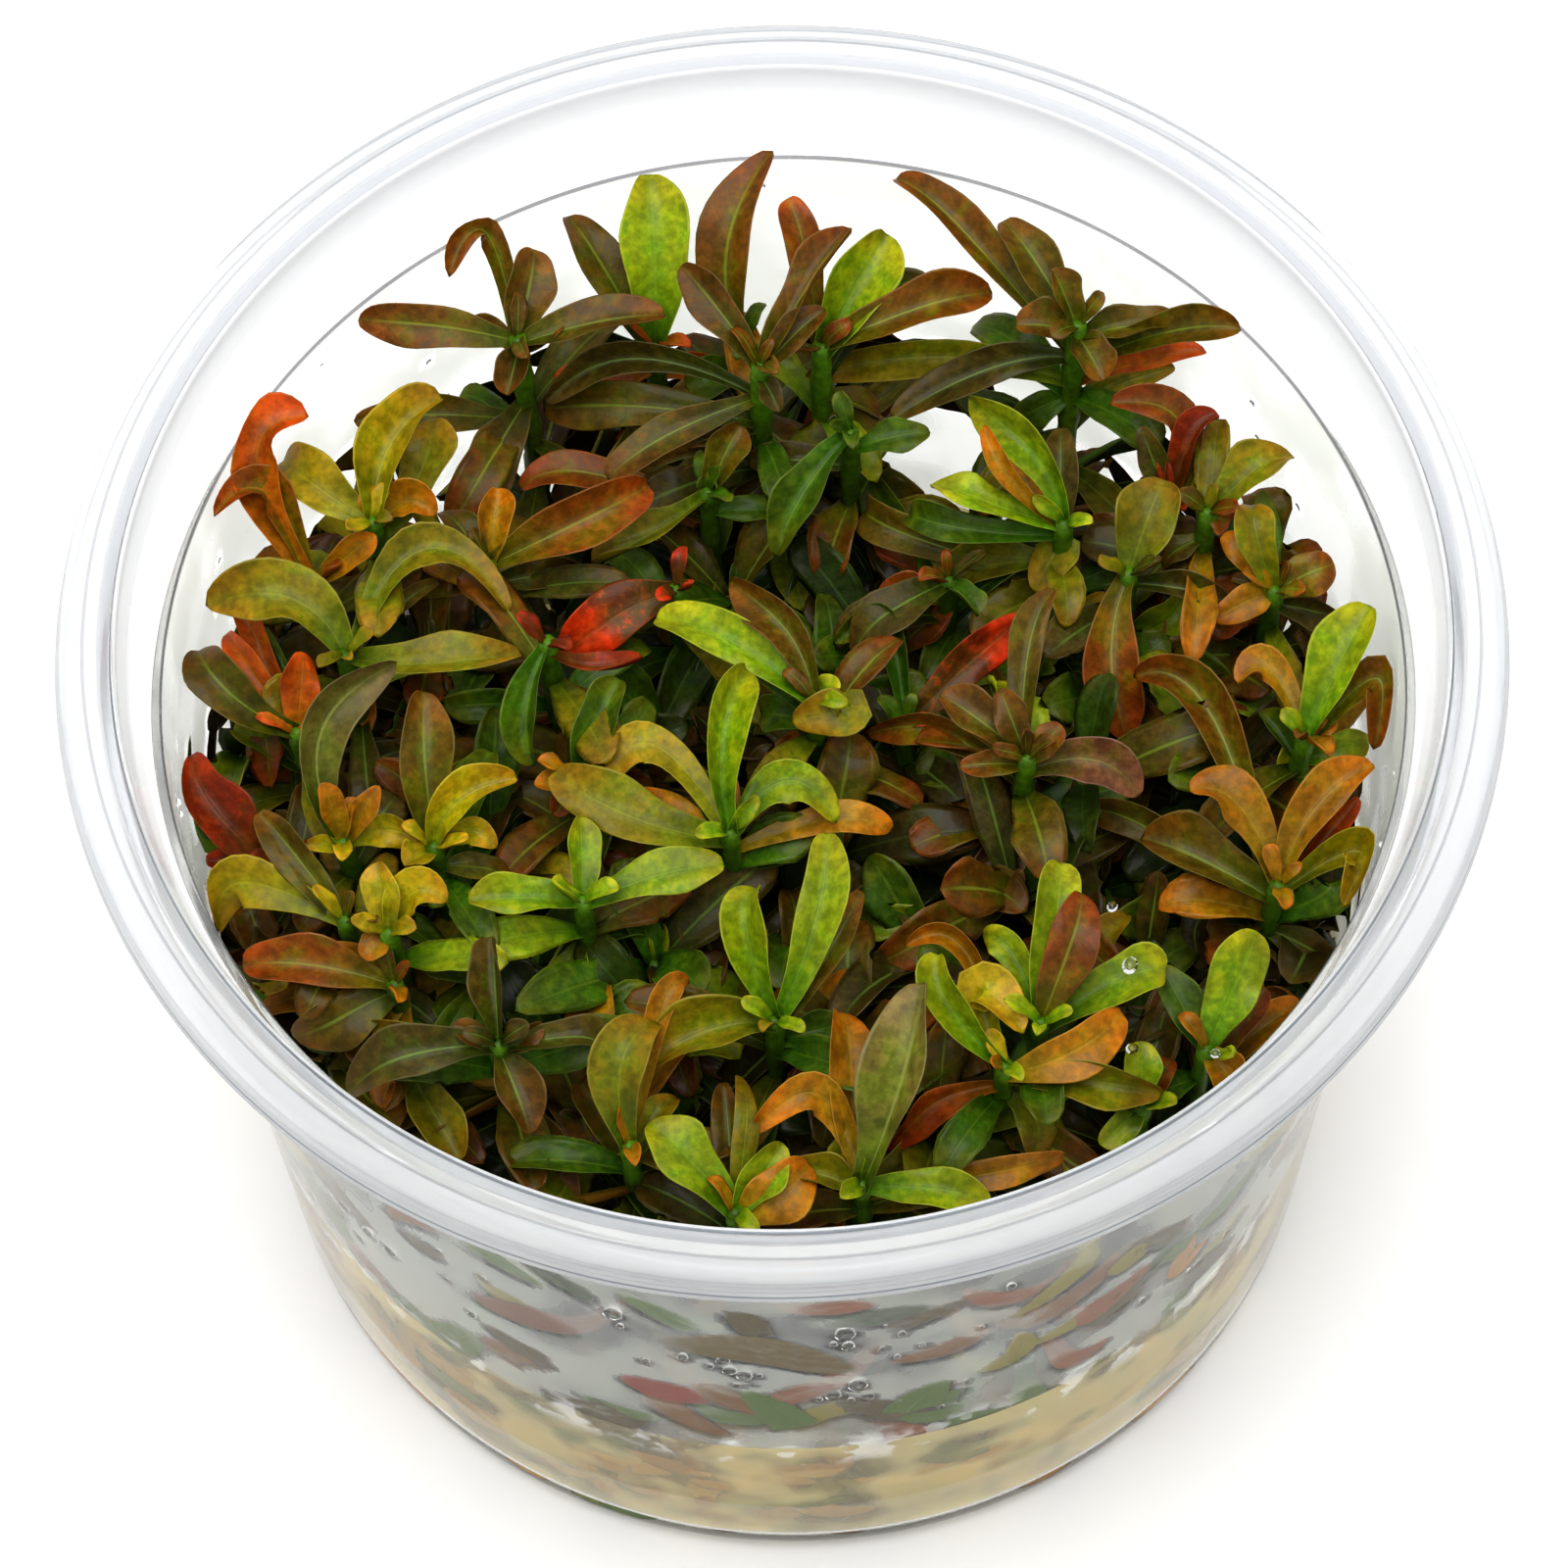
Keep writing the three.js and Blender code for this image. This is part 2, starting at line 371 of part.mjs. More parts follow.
    { tip: [602, 573], bend: [660, 548], wide: 3.4, rise: 0, tone: 'olive' },
    { tip: [729, 483], wide: 1.7, rise: 2, tone: 'green' },
    { tip: [800, 522], wide: 2.2, rise: 0, below: 2, tone: 'green' },
    { tip: [527, 495], bend: [605, 483], wide: 2.8, rise: 1, below: 3, tone: 'russet' },
  ] },
  front_wall_left: { stand: [-20.5, -31], up: 44, leaves: [
    { tip: [405, 1310], bend: [470, 1358], wall: true, wide: 3.2, below: 10, tone: 'green' },
    { tip: [502, 1346], bend: [545, 1375], wall: true, wide: 2.8, below: 14, tone: 'dusk' },
    { tip: [425, 1256], bend: [440, 1265], wall: true, wide: 2, below: 2, tone: 'dusk' },
  ] },
  front_wall_mid_left: { stand: [-11, -35.5], up: 46, leaves: [
    { tip: [487, 1316], bend: [550, 1336], wall: true, wide: 3, below: 6, tone: 'rose' },
    { tip: [868, 1390], bend: [740, 1366], wall: true, wide: 3.9, below: 9, tone: 'bronze' },
    { tip: [585, 1425], bend: [635, 1437], wall: true, wide: 3.4, below: 20, tone: 'dusk' },
  ] },
  front_wall_mid: { stand: [-1.5, -36.8], up: 47, leaves: [
    { tip: [652, 1402], bend: [688, 1412], wall: true, wide: 2.8, below: 17, tone: 'red' },
    { tip: [758, 1418], bend: [812, 1444], wall: true, wide: 3.2, below: 21, tone: 'green' },
    { tip: [755, 1336], bend: [765, 1345], wall: true, wide: 2.2, below: 6, tone: 'dusk' },
  ] },
  front_wall_mid_right: { stand: [7.5, -36], up: 46, leaves: [
    { tip: [966, 1400], bend: [928, 1428], wall: true, wide: 3.5, below: 20, tone: 'green' },
    { tip: [1026, 1431], bend: [985, 1440], wall: true, wide: 2.3, below: 21.5, tone: 'green' },
    { tip: [1040, 1352], bend: [1026, 1378], wall: true, wide: 2.3, below: 13, tone: 'olive' },
  ] },
  front_wall_right: { stand: [15.5, -33], up: 46, leaves: [
    { tip: [1156, 1290], bend: [1108, 1330], wall: true, wide: 3, below: 10, tone: 'russet' },
    { tip: [1123, 1358], bend: [1090, 1378], wall: true, wide: 2, below: 14, tone: 'russet' },
    { tip: [1082, 1409], bend: [1045, 1417], wall: true, wide: 2.3, below: 18, tone: 'green' },
  ] },
  front_wall_far_right: { stand: [25.9, -26.4], up: 45, leaves: [
    { tip: [1168, 1254], bend: [1146, 1279], wall: true, wide: 2.4, below: 4, tone: 'olive' },
    { tip: [1216, 1264], bend: [1196, 1284], wall: true, wide: 2.4, below: 7, tone: 'amber' },
    { tip: [1228, 1318], bend: [1190, 1336], wall: true, wide: 2.8, below: 12, tone: 'green' },
    { tip: [1180, 1365], bend: [1136, 1386], wall: true, wide: 2.8, below: 15, tone: 'dusk' },
  ] },
};

// Radius of the cup's inner face at a height
function innerRadius(up) {
  return wallFootRadius + (wallTopRadius - wallFootRadius) * up / ledgeHeight;
}

// The picture's eye, with the directions of its right, its top and its line of sight
function makeEye() {
  const pitch = THREE.MathUtils.degToRad(eye.pitch);
  const ahead = new THREE.Vector3(0, Math.cos(pitch), -Math.sin(pitch));
  const right = new THREE.Vector3(1, 0, 0).applyAxisAngle(ahead, THREE.MathUtils.degToRad(-eye.roll));
  const top = new THREE.Vector3().crossVectors(right, ahead);
  const place = new THREE.Vector3(eye.aimX, 0, eye.aimUp).addScaledVector(ahead, -eye.distance);
  return { ahead, right, top, place };
}

const sight = makeEye();

// Where the line of sight through a pixel passes a height
function seen([px, py], up) {
  const ray = sight.ahead.clone();
  ray.addScaledVector(sight.right, (px - eye.middle) / eye.focal);
  ray.addScaledVector(sight.top, -(py - eye.middle) / eye.focal);
  return sight.place.clone().addScaledVector(ray, (up - sight.place.z) / ray.z);
}

// Where the line of sight through a pixel meets the inside of the near wall
function seenOnWall(pixel) {
  let up = ledgeHeight;
  let point = seen(pixel, up);
  while (up > gelHeight + 2 && Math.hypot(point.x, point.y) > innerRadius(up) - leafRoom) {
    up -= 0.25;
    point = seen(pixel, up);
  }
  return point;
}

// A point that would lie in or outside the wall comes back inside it
function keepInside(point, margin) {
  const radius = Math.hypot(point.x, point.y);
  const limit = innerRadius(Math.min(point.z, ledgeHeight)) - margin;
  if (radius > limit) {
    point.x *= limit / radius;
    point.y *= limit / radius;
  }
  return point;
}

// Closed geometry to solid, with its faces pointing out
function toSolid(geometry) {
  const bare = geometry.clone();
  bare.deleteAttribute('normal');
  bare.deleteAttribute('uv');
  const merged = mergeVertices(bare, 1e-4);
  const vertProperties = new Float32Array(merged.attributes.position.array);
  const triVerts = new Uint32Array(merged.index.array);
  return new wasm.Manifold(new wasm.Mesh({ numProp: 3, vertProperties, triVerts }));
}

function toGeometry(solid) {
  const mesh = solid.getMesh();
  const geometry = new THREE.BufferGeometry();
  geometry.setAttribute('position', new THREE.BufferAttribute(new Float32Array(mesh.vertProperties), 3));
  geometry.setIndex(Array.from(mesh.triVerts));
  geometry.computeVertexNormals();
  return geometry;
}

// The cup's wall, floor and stepped rim, as one closed outline turned about the axis
function makeCup() {
  const footOuter = wallFootRadius + wall;
  const outline = [
    [0, 0],
    [footOuter - floorCorner, 0],
    [footOuter + 0.1, floorCorner],
    [wallTopRadius + wall, ledgeHeight - 0.8],
    [ledgeRadius + wall, ledgeHeight - 0.4],
    [collarTopRadius + wall * 1.1, cupHeight - 1.9],
    [beadRadius - 0.4, cupHeight - 1.1],
    [rimRadius - 0.8, skirtHeight],
    [rimRadius, skirtHeight],
    [beadRadius, cupHeight - 0.3],
    [beadRadius - 0.7, cupHeight],
    [collarTopRadius + 0.4, cupHeight],
    [ledgeRadius, ledgeHeight + 0.3],
    [wallTopRadius, ledgeHeight],
    [wallFootRadius + 0.2, floorThickness + floorCorner],
    [wallFootRadius - floorCorner * 0.8, floorThickness],
    [0, floorThickness],
  ];
  const points = outline.map(([radius, up]) => new THREE.Vector2(radius, up));
  const geometry = new THREE.LatheGeometry(points, cupSides);
  return geometry.rotateX(Math.PI / 2);
}

// A stem from its foot in the gel to its crown
function stemRoute(foot, crown) {
  const middle = foot.clone().lerp(crown, 0.5);
  middle.x += (crown.x - foot.x) * 0.2;
  middle.y += (crown.y - foot.y) * 0.2;
  return new THREE.QuadraticBezierCurve3(foot, middle, crown);
}

function makeStem(route, radius) {
  const corners = [];
  for (let side = 0; side < stemSides; side += 1) {
    const turn = side * 2 * Math.PI / stemSides;
    corners.push(new THREE.Vector2(radius * Math.cos(turn), radius * Math.sin(turn)));
  }
  const section = new THREE.Shape(corners);
  return toSolid(new THREE.ExtrudeGeometry(section, { steps: 2, bevelEnabled: false, extrudePath: route }));
}

// A leaf's way from its stem to its tip. lift moves it along the line of sight, pull keeps it further
// from the wall, reach shortens it.
function leafRoute(base, leaf, { lift, pull, reach }) {
  const rise = leaf.rise ?? 1;
  let tip;
  let middle;
  if (leaf.wall) {
    tip = seenOnWall(leaf.tip);
    middle = seenOnWall(leaf.bend);
  } else {
    tip = seen(leaf.tip, base.z + rise + lift);
    const arch = 0.07 * base.distanceTo(tip);
    middle = base.clone().lerp(tip, 0.5);
    middle.z += arch;
    if (leaf.bend) {
      middle = seen(leaf.bend, base.z + rise * 0.6 + lift * 0.6 + arch);
    }
  }
  keepInside(tip, leafRoom + pull);
  keepInside(middle, leafRoom + pull);
  const control = middle.clone().multiplyScalar(2);
  control.addScaledVector(base, -0.5);
  control.addScaledVector(tip, -0.5);
  const whole = new THREE.QuadraticBezierCurve3(base, control, tip);
  if (reach === 1) {
    return whole;
  }
  const end = whole.getPoint(reach);
  const newControl = base.clone().lerp(control, reach);
  return new THREE.QuadraticBezierCurve3(base, newControl, end);
}

// A leaf is narrow at its stem, widest past its middle and round at its end, flat above and with its
// midrib standing out below. extra makes it larger all round, to test the room that it needs.
function makeLeaf(route, leaf, extra) {
  const stations = [
    { along: 0.34, half: leaf.wide * 0.28 },
    { along: 0.7, half: leaf.wide * 0.5 },
  ];
  if (leaf.wide >= broadLeaf) {
    stations.push({ along: 0.91, half: leaf.wide * 0.34 });
  }
  const facing = new THREE.Vector3(0, -0.25, 0.97);
  if (leaf.wall) {
    const middle = route.getPoint(0.6);
    facing.set(-middle.x, -middle.y, 0).normalize();
  }
  const corners = [];
  for (const { along, half } of stations) {
    const centre = route.getPoint(along);
    const forward = route.getTangent(along);
    const side = new THREE.Vector3().crossVectors(forward, facing).normalize();
    const above = new THREE.Vector3().crossVectors(side, forward);
    corners.push(centre.clone().addScaledVector(side, half + extra).addScaledVector(above, extra));
    corners.push(centre.clone().addScaledVector(side, -half - extra).addScaledVector(above, extra));
    corners.push(centre.clone().addScaledVector(above, -leafThickness - extra));
  }
  const base = corners.push(route.getPoint(0)) - 1;
  const tip = corners.push(route.getPoint(1).addScaledVector(route.getTangent(1), extra)) - 1;
  const faces = [];
  for (let row = 0; row < stations.length - 1; row += 1) {
    for (let corner = 0; corner < 3; corner += 1) {
      const a = row * 3 + corner;
      const b = row * 3 + (corner + 1) % 3;
      faces.push(a, a + 3, b, b, a + 3, b + 3);
    }
  }
  const last = base - 3;
  for (let corner = 0; corner < 3; corner += 1) {
    const next = (corner + 1) % 3;
    faces.push(base, corner, next, last + corner, tip, last + next);
  }
  const geometry = new THREE.BufferGeometry().setFromPoints(corners);
  geometry.setIndex(faces);
  return { solid: toSolid(geometry), corners };
}

// The layer of gel, with a blind hole round each stem's foot
function makeGel(guards) {
  const outline = [
    [0, floorThickness + gap],
    [wallFootRadius - floorCorner, floorThickness + gap],
    [innerRadius(floorThickness + floorCorner) - gap, floorThickness + floorCorner + gap],
    [innerRadius(gelHeight) - gap, gelHeight + 0.8],
    [innerRadius(gelHeight) - 1.6, gelHeight],
    [0, gelHeight],
  ];
  const points = outline.map(([radius, up]) => new THREE.Vector2(radius, up));
  let gel = toSolid(new THREE.LatheGeometry(points, cupSides).rotateX(Math.PI / 2));
  for (const guard of guards) {
    gel = gel.subtract(guard);
  }
  return gel;
}

function boxesMeet(a, b) {
  return [0, 1, 2].every((axis) => a.min[axis] < b.max[axis] && b.min[axis] < a.max[axis]);
}

// Whether a leaf with its room around it is clear of every other shoot, of the wall and of the gel
function isClear(room, corners, owner, shoots) {
  for (const corner of corners) {
    const radius = Math.hypot(corner.x, corner.y);
    const limit = corner.z > ledgeHeight ? ledgeRadius : innerRadius(corner.z);
    if (radius > limit - gap || corner.z < gelHeight + gap || corner.z > cupHeight - gap) {
      return false;
    }
  }
  const box = room.boundingBox();
  for (const shoot of shoots) {
    if (shoot === owner) {
      continue;
    }
    for (const piece of shoot.pieces) {
      if (boxesMeet(box, piece.box) && !room.intersect(piece.solid).isEmpty()) {
        return false;
      }
    }
  }
  return true;
}

// The ways to lay a leaf, the best first
const reaches = [1, 0.85, 0.7, 0.55];
const pulls = [0, 0.7, 1.4, 2.1];
const lifts = [0, 1, -1, 2, -2, 3, -3, 4, -4];
const trials = reaches.flatMap((reach) => pulls.flatMap((pull) => lifts.map((lift) => ({ reach, pull, lift }))));

// Puts a leaf on its shoot. Where another shoot or the wall is in the way it moves, then it gets shorter.
function placeLeaf(leaf, owner, shoots) {
  const depth = (leaf.below ?? 0.4) + (owner.pieces.length - 1) * leafSpacing;
  const base = owner.route.getPoint(1 - depth / owner.height);
  for (const trial of trials) {
    const route = leafRoute(base, leaf, trial);
    const room = makeLeaf(route, leaf, gap);
    if (isClear(room.solid, room.corners, owner, shoots)) {
      const { solid } = makeLeaf(route, leaf, 0);
      owner.pieces.push({ solid, box: solid.boundingBox() });
      return;
    }
  }
}

function startShoot(name, row) {
  const crown = row.stand ? new THREE.Vector3(...row.stand, row.up) : seen(row.crown, row.up);
  const foot = new THREE.Vector3(crown.x, crown.y, 0).multiplyScalar(footSpread).clampLength(0, footLimit);
  foot.z = footHeight;
  const route = stemRoute(foot, crown);
  const stem = makeStem(route, stemRadius);
  const lowFoot = foot.clone().setZ(footHeight - gap);
  const guard = makeStem(stemRoute(lowFoot, crown), stemRadius + gap);
  const pieces = [{ solid: stem, box: stem.boundingBox() }];
  return { name, leaves: row.leaves, route, guard, pieces, height: crown.z - foot.z };
}

// The mean of a shoot's leaf colours
function shootColour(leaves) {
  const mean = new THREE.Color(0, 0, 0);
  for (const leaf of leaves) {
    const share = new THREE.Color(toneColours[leaf.tone]).multiplyScalar(1 / leaves.length);
    mean.add(share);
  }
  return mean;
}

function addMesh(parent, name, geometry, finish) {
  const mesh = new THREE.Mesh(geometry, new THREE.MeshStandardMaterial(finish));
  mesh.name = name;
  parent.add(mesh);
}

const group = new THREE.Group();
const shoots = Object.entries(shootTable).map(([name, row]) => startShoot(name, row));
for (const shoot of shoots) {
  for (const leaf of shoot.leaves.filter(({ wide }) => wide >= smallestLeaf)) {
    placeLeaf(leaf, shoot, shoots);
  }
}

addMesh(group, 'cup', toGeometry(toSolid(makeCup())), { color: 0xe9edf0, roughness: 0.25, metalness: 0 });
const gel = makeGel(shoots.map((shoot) => shoot.guard));
addMesh(group, 'gel', toGeometry(gel), { color: 0xe6dba8, roughness: 0.2, metalness: 0 });
for (const shoot of shoots) {
  let grown = shoot.pieces[0].solid;
  for (const piece of shoot.pieces.slice(1)) {
    grown = grown.add(piece.solid);
  }
  const finish = { color: shootColour(shoot.leaves), roughness: 0.4, metalness: 0 };
  addMesh(group, `shoot_${shoot.name}`, toGeometry(grown), finish);
}

export default group;
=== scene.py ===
import math
import random

import bpy
import numpy as np
from mathutils import Matrix, Vector
from mathutils.kdtree import KDTree


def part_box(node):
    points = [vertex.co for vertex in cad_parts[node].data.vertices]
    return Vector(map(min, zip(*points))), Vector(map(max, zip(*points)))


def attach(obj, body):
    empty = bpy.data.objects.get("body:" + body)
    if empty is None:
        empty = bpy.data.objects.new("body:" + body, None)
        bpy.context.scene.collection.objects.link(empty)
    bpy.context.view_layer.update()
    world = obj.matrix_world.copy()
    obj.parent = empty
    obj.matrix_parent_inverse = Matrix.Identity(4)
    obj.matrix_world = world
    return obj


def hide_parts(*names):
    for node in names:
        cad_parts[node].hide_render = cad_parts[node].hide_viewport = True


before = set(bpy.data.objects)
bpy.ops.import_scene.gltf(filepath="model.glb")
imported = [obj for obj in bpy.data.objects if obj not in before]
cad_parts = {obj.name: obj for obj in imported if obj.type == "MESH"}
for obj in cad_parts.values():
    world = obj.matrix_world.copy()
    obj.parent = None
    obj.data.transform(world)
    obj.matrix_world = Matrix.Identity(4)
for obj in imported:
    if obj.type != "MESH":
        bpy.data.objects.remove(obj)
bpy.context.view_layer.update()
mm = 0.001


# The camera stands where the photograph was taken from. Its picture is 1600 pixels wide.
photoEye = {
    "distance": 600 * mm,  # from the point it aims at
    "pitch": 61.45,  # degrees below the horizon
    "roll": -1.86,
    "aimX": -0.14 * mm,
    "aimUp": 47.3 * mm,
    "focal": 8644,  # pixels
    "middle": 800,  # pixels
    "sensor": 36,
}


def eyeAxes():
    pitch = math.radians(photoEye["pitch"])
    ahead = Vector((0, math.cos(pitch), -math.sin(pitch)))
    right = Matrix.Rotation(math.radians(-photoEye["roll"]), 3, ahead) @ Vector((1, 0, 0))
    top = right.cross(ahead)
    place = Vector((photoEye["aimX"], 0, photoEye["aimUp"])) - ahead * photoEye["distance"]
    return ahead, right, top, place


eyeAhead, eyeRight, eyeTop, eyePlace = eyeAxes()


def addCamera():
    data = bpy.data.cameras.new("photoCamera")
    data.sensor_width = photoEye["sensor"]
    data.lens = photoEye["sensor"] * photoEye["focal"] / (2 * photoEye["middle"])
    data.clip_start = 0.01
    data.clip_end = 20
    camera = bpy.data.objects.new("photoCamera", data)
    bpy.context.scene.collection.objects.link(camera)
    turn = Matrix((eyeRight, eyeTop, -eyeAhead)).transposed()
    camera.matrix_world = Matrix.Translation(eyePlace) @ turn.to_4x4()
    bpy.context.scene.camera = camera


addCamera()
print("camera placed")


# Sizes of the cup, measured inwards from the rim's edge and down from its top
cupLow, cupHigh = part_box("cup")
cup = {
    "rim": cupHigh.x,
    "height": cupHigh.z,
    "bead": 0.55 * mm,
    "collar": 4.35 * mm,
    "ledge": 6.1 * mm,
    "ledgeDrop": 7.8 * mm,
    "wallTop": 6.9 * mm,
    "wallFoot": 12.1 * mm,
    "skirtDrop": 2.4 * mm,
    "wall": 0.8 * mm,
    "floor": 1.0 * mm,
    "corner": 3.0 * mm,
    "sides": 420,
    "step": 0.5 * mm,  # between the rings of the inside wall
    "clear": 1.0,  # how see-through the plastic is
    "press": 1.2 * mm,
    "milky": 0.36,  # how much less see-through the thick rim is
    "slope": 0.15,  # the same for the slope inside it
    "mist": 0.37,  # how much of that the mist inside takes away
    "blur": 0.3,  # how much the mist blurs what is behind
    "wiped": 0.15 * mm,  # a leaf this near the wall wipes the mist off
    "fade": 0.35 * mm,  # width of the edge of such a clear patch
    "splash": 0.3,  # how much streaks of gel on the wall take away
    "plain": (0.96, 0.965, 0.965, 1),
    "slopeTint": (0.89, 0.895, 0.9, 1),
    "rimTint": (0.69, 0.7, 0.71, 1),
    "mistTint": (0.87, 0.9, 0.82, 1),
    "shadeLines": [  # painted shade: grey lines along the rim's grooves, edges and skirt ribs, standing in for their shade and the dark they refract; how far in and half the width, how far down and half of that, and the tint of each
        (3.55, 0.4, 0.4, 1.0, (0.53, 0.55, 0.58, 1)),
        (4.0, 0.08, 0.3, 1.0, (0.3, 0.33, 0.38, 1)),
        (2.1, 0.12, 0.1, 1.0, (0.53, 0.54, 0.56, 1)),
        (0.2, 0.7, 0.55, 0.12, (0.62, 0.63, 0.65, 1)),
        (0.2, 0.7, 1.1, 0.1, (0.65, 0.66, 0.68, 1)),
        (0.2, 0.7, 1.9, 0.15, (0.34, 0.37, 0.42, 1)),
        (6.85, 0.09, 7.8, 1.0, (0.16, 0.16, 0.17, 1)),
    ],
}
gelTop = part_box("gel")[1].z - 0.8 * mm
ledgeUp = cup["height"] - cup["ledgeDrop"]


def innerRadius(up):
    top = cup["rim"] - cup["wallTop"]
    foot = cup["rim"] - cup["wallFoot"]
    return foot + (top - foot) * np.minimum(up, ledgeUp) / ledgeUp


# A leaf that reaches the wall bends along it, and one that reaches the floor lies on it
def pressInside(points):
    radius = np.hypot(points[:, 0], points[:, 1])
    near = innerRadius(points[:, 2]) - cup["press"]
    over = np.maximum(radius - near, 0)
    pressed = near + (cup["press"] - 0.1 * mm) * (1 - np.exp(-over / cup["press"]))
    scale = np.where(over > 0, pressed / np.maximum(radius, mm), 1)
    points[:, 0] *= scale
    points[:, 1] *= scale
    points[:, 2] = np.maximum(points[:, 2], cup["floor"] + 0.4 * mm)
    return points


# Where the line of sight through a picture pixel passes a height
def seen(pixel, up):
    ray = eyeAhead.copy()
    ray += eyeRight * ((pixel[0] - photoEye["middle"]) / photoEye["focal"])
    ray -= eyeTop * ((pixel[1] - photoEye["middle"]) / photoEye["focal"])
    return eyePlace + ray * ((up - eyePlace.z) / ray.z)


# Where it meets the inside of the near wall
def seenOnWall(pixel, room):
    up = ledgeUp
    point = seen(pixel, up)
    while up > gelTop - 14 * mm and math.hypot(point.x, point.y) > innerRadius(up) - room:
        up -= 0.2 * mm
        point = seen(pixel, up)
    return point


def keepInside(point, room):
    radius = math.hypot(point.x, point.y)
    limit = innerRadius(point.z) - room
    if radius > limit:
        point.x *= limit / radius
        point.y *= limit / radius
    return point


# Node helpers. Each takes sockets or plain values and gives back a socket.
def feed(tree, socket, value):
    if isinstance(value, bpy.types.NodeSocket):
        tree.links.new(value, socket)
    else:
        socket.default_value = value


def calc(tree, operation, *values):
    node = tree.nodes.new("ShaderNodeMath")
    node.operation = operation
    for socket, value in zip(node.inputs, values):
        feed(tree, socket, value)
    return node.outputs[0]


def spread(tree, value, low, high, toLow=0.0, toHigh=1.0):
    node = tree.nodes.new("ShaderNodeMapRange")
    node.interpolation_type = "SMOOTHSTEP"
    given = {"Value": value, "From Min": low, "From Max": high, "To Min": toLow, "To Max": toHigh}
    for name, each in given.items():
        feed(tree, node.inputs[name], each)
    return node.outputs["Result"]


def blend(tree, share, first, second, mode="MIX"):
    node = tree.nodes.new("ShaderNodeMix")
    node.data_type = "RGBA"
    node.blend_type = mode
    feed(tree, node.inputs[0], share)
    feed(tree, node.inputs[6], first)
    feed(tree, node.inputs[7], second)
    return node.outputs[2]


def noise(tree, where, scale, detail=2.0, rough=0.5):
    node = tree.nodes.new("ShaderNodeTexNoise")
    feed(tree, node.inputs["Vector"], where)
    feed(tree, node.inputs["Scale"], scale)
    feed(tree, node.inputs["Detail"], detail)
    feed(tree, node.inputs["Roughness"], rough)
    return node.outputs["Fac"]


def split(tree, vector):
    node = tree.nodes.new("ShaderNodeSeparateXYZ")
    tree.links.new(vector, node.inputs[0])
    return node.outputs


def objectPlace(tree):
    return tree.nodes.new("ShaderNodeTexCoord").outputs["Object"]


def attribute(tree, name, output):
    node = tree.nodes.new("ShaderNodeAttribute")
    node.attribute_name = name
    return node.outputs[output]


def startGroup(name, inputs, outputs):
    tree = bpy.data.node_groups.new(name, "ShaderNodeTree")
    for label, kind, value in inputs:
        socket = tree.interface.new_socket(name=label, in_out="INPUT", socket_type="NodeSocket" + kind)
        socket.default_value = value
    for label, kind in outputs:
        tree.interface.new_socket(name=label, in_out="OUTPUT", socket_type="NodeSocket" + kind)
    start = tree.nodes.new("NodeGroupInput")
    end = tree.nodes.new("NodeGroupOutput")
    return tree, start.outputs, end.inputs


def startMaterial(name, **values):
    material = bpy.data.materials.new(name)
    material.use_nodes = True
    tree = material.node_tree
    shader = tree.nodes["Principled BSDF"]
    for label, value in values.items():
        shader.inputs[label].default_value = value
    return material, tree, shader


def useGroup(tree, group, **values):
    node = tree.nodes.new("ShaderNodeGroup")
    node.node_tree = group
    for label, value in values.items():
        node.inputs[label].default_value = value
    return node.outputs


def addBump(tree, shader, height, strength, distance):
    node = tree.nodes.new("ShaderNodeBump")
    node.inputs["Strength"].default_value = strength
    node.inputs["Distance"].default_value = distance
    tree.links.new(height, node.inputs["Height"])
    tree.links.new(node.outputs["Normal"], shader.inputs["Normal"])


def paint(code, gain=1.0):
    parts = [int(code[place:place + 2], 16) / 255 for place in (1, 3, 5)]
    linear = [part / 12.92 if part <= 0.04045 else ((part + 0.055) / 1.055) ** 2.4 for part in parts]
    return (*[min(part * gain, 1.0) for part in linear], 1.0)


# A mesh gathered from many small closed forms, with one material index a face
class Gathered:
    def __init__(self):
        self.points, self.faces, self.skins, self.places, self.sides = [], [], [], [], []
        self.count = 0

    def add(self, points, faces, skin, places=None, sides=None):
        self.points.append(points)
        self.faces.extend([tuple(corner + self.count for corner in face) for face in faces])
        self.skins.extend([skin] * len(faces))
        self.places.append(np.zeros((len(points), 3)) if places is None else places)
        self.sides.append(np.zeros(len(points)) if sides is None else sides)
        self.count += len(points)


nearWall = []  # points on leaves near the cup's wall


def noteNearWall(points, faces):
    corners = points[np.array([face for face in faces if len(face) == 4])]
    radius = np.hypot(corners[:, 0, 0], corners[:, 0, 1])
    corners = corners[radius > innerRadius(corners[:, 0, 2]) - 2.5 * mm]
    for first in (0, 0.34, 0.67):
        for second in (0, 0.34, 0.67):
            low = corners[:, 0] * (1 - first) + corners[:, 1] * first
            high = corners[:, 3] * (1 - first) + corners[:, 2] * first
            nearWall.extend((low * (1 - second) + high * second).tolist())


def addPiece(name, gathered, materials, replaced=None):
    mesh = bpy.data.meshes.new(name)
    points = np.concatenate(gathered.points)
    mesh.from_pydata(points.tolist(), [], gathered.faces)
    mesh.polygons.foreach_set("material_index", gathered.skins)
    mesh.polygons.foreach_set("use_smooth", [True] * len(mesh.polygons))
    place = mesh.attributes.new("leafPlace", "FLOAT_VECTOR", "POINT")
    place.data.foreach_set("vector", np.concatenate(gathered.places).astype(np.float32).ravel())
    side = mesh.attributes.new("leafSide", "FLOAT", "POINT")
    side.data.foreach_set("value", np.concatenate(gathered.sides).astype(np.float32))
    for material in materials:
        mesh.materials.append(material)
    mesh.update()
    noteNearWall(points, gathered.faces)
    piece = bpy.data.objects.new(name, mesh)
    bpy.context.scene.collection.objects.link(piece)
    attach(piece, "root")
    if replaced:
        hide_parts(replaced)
    return piece
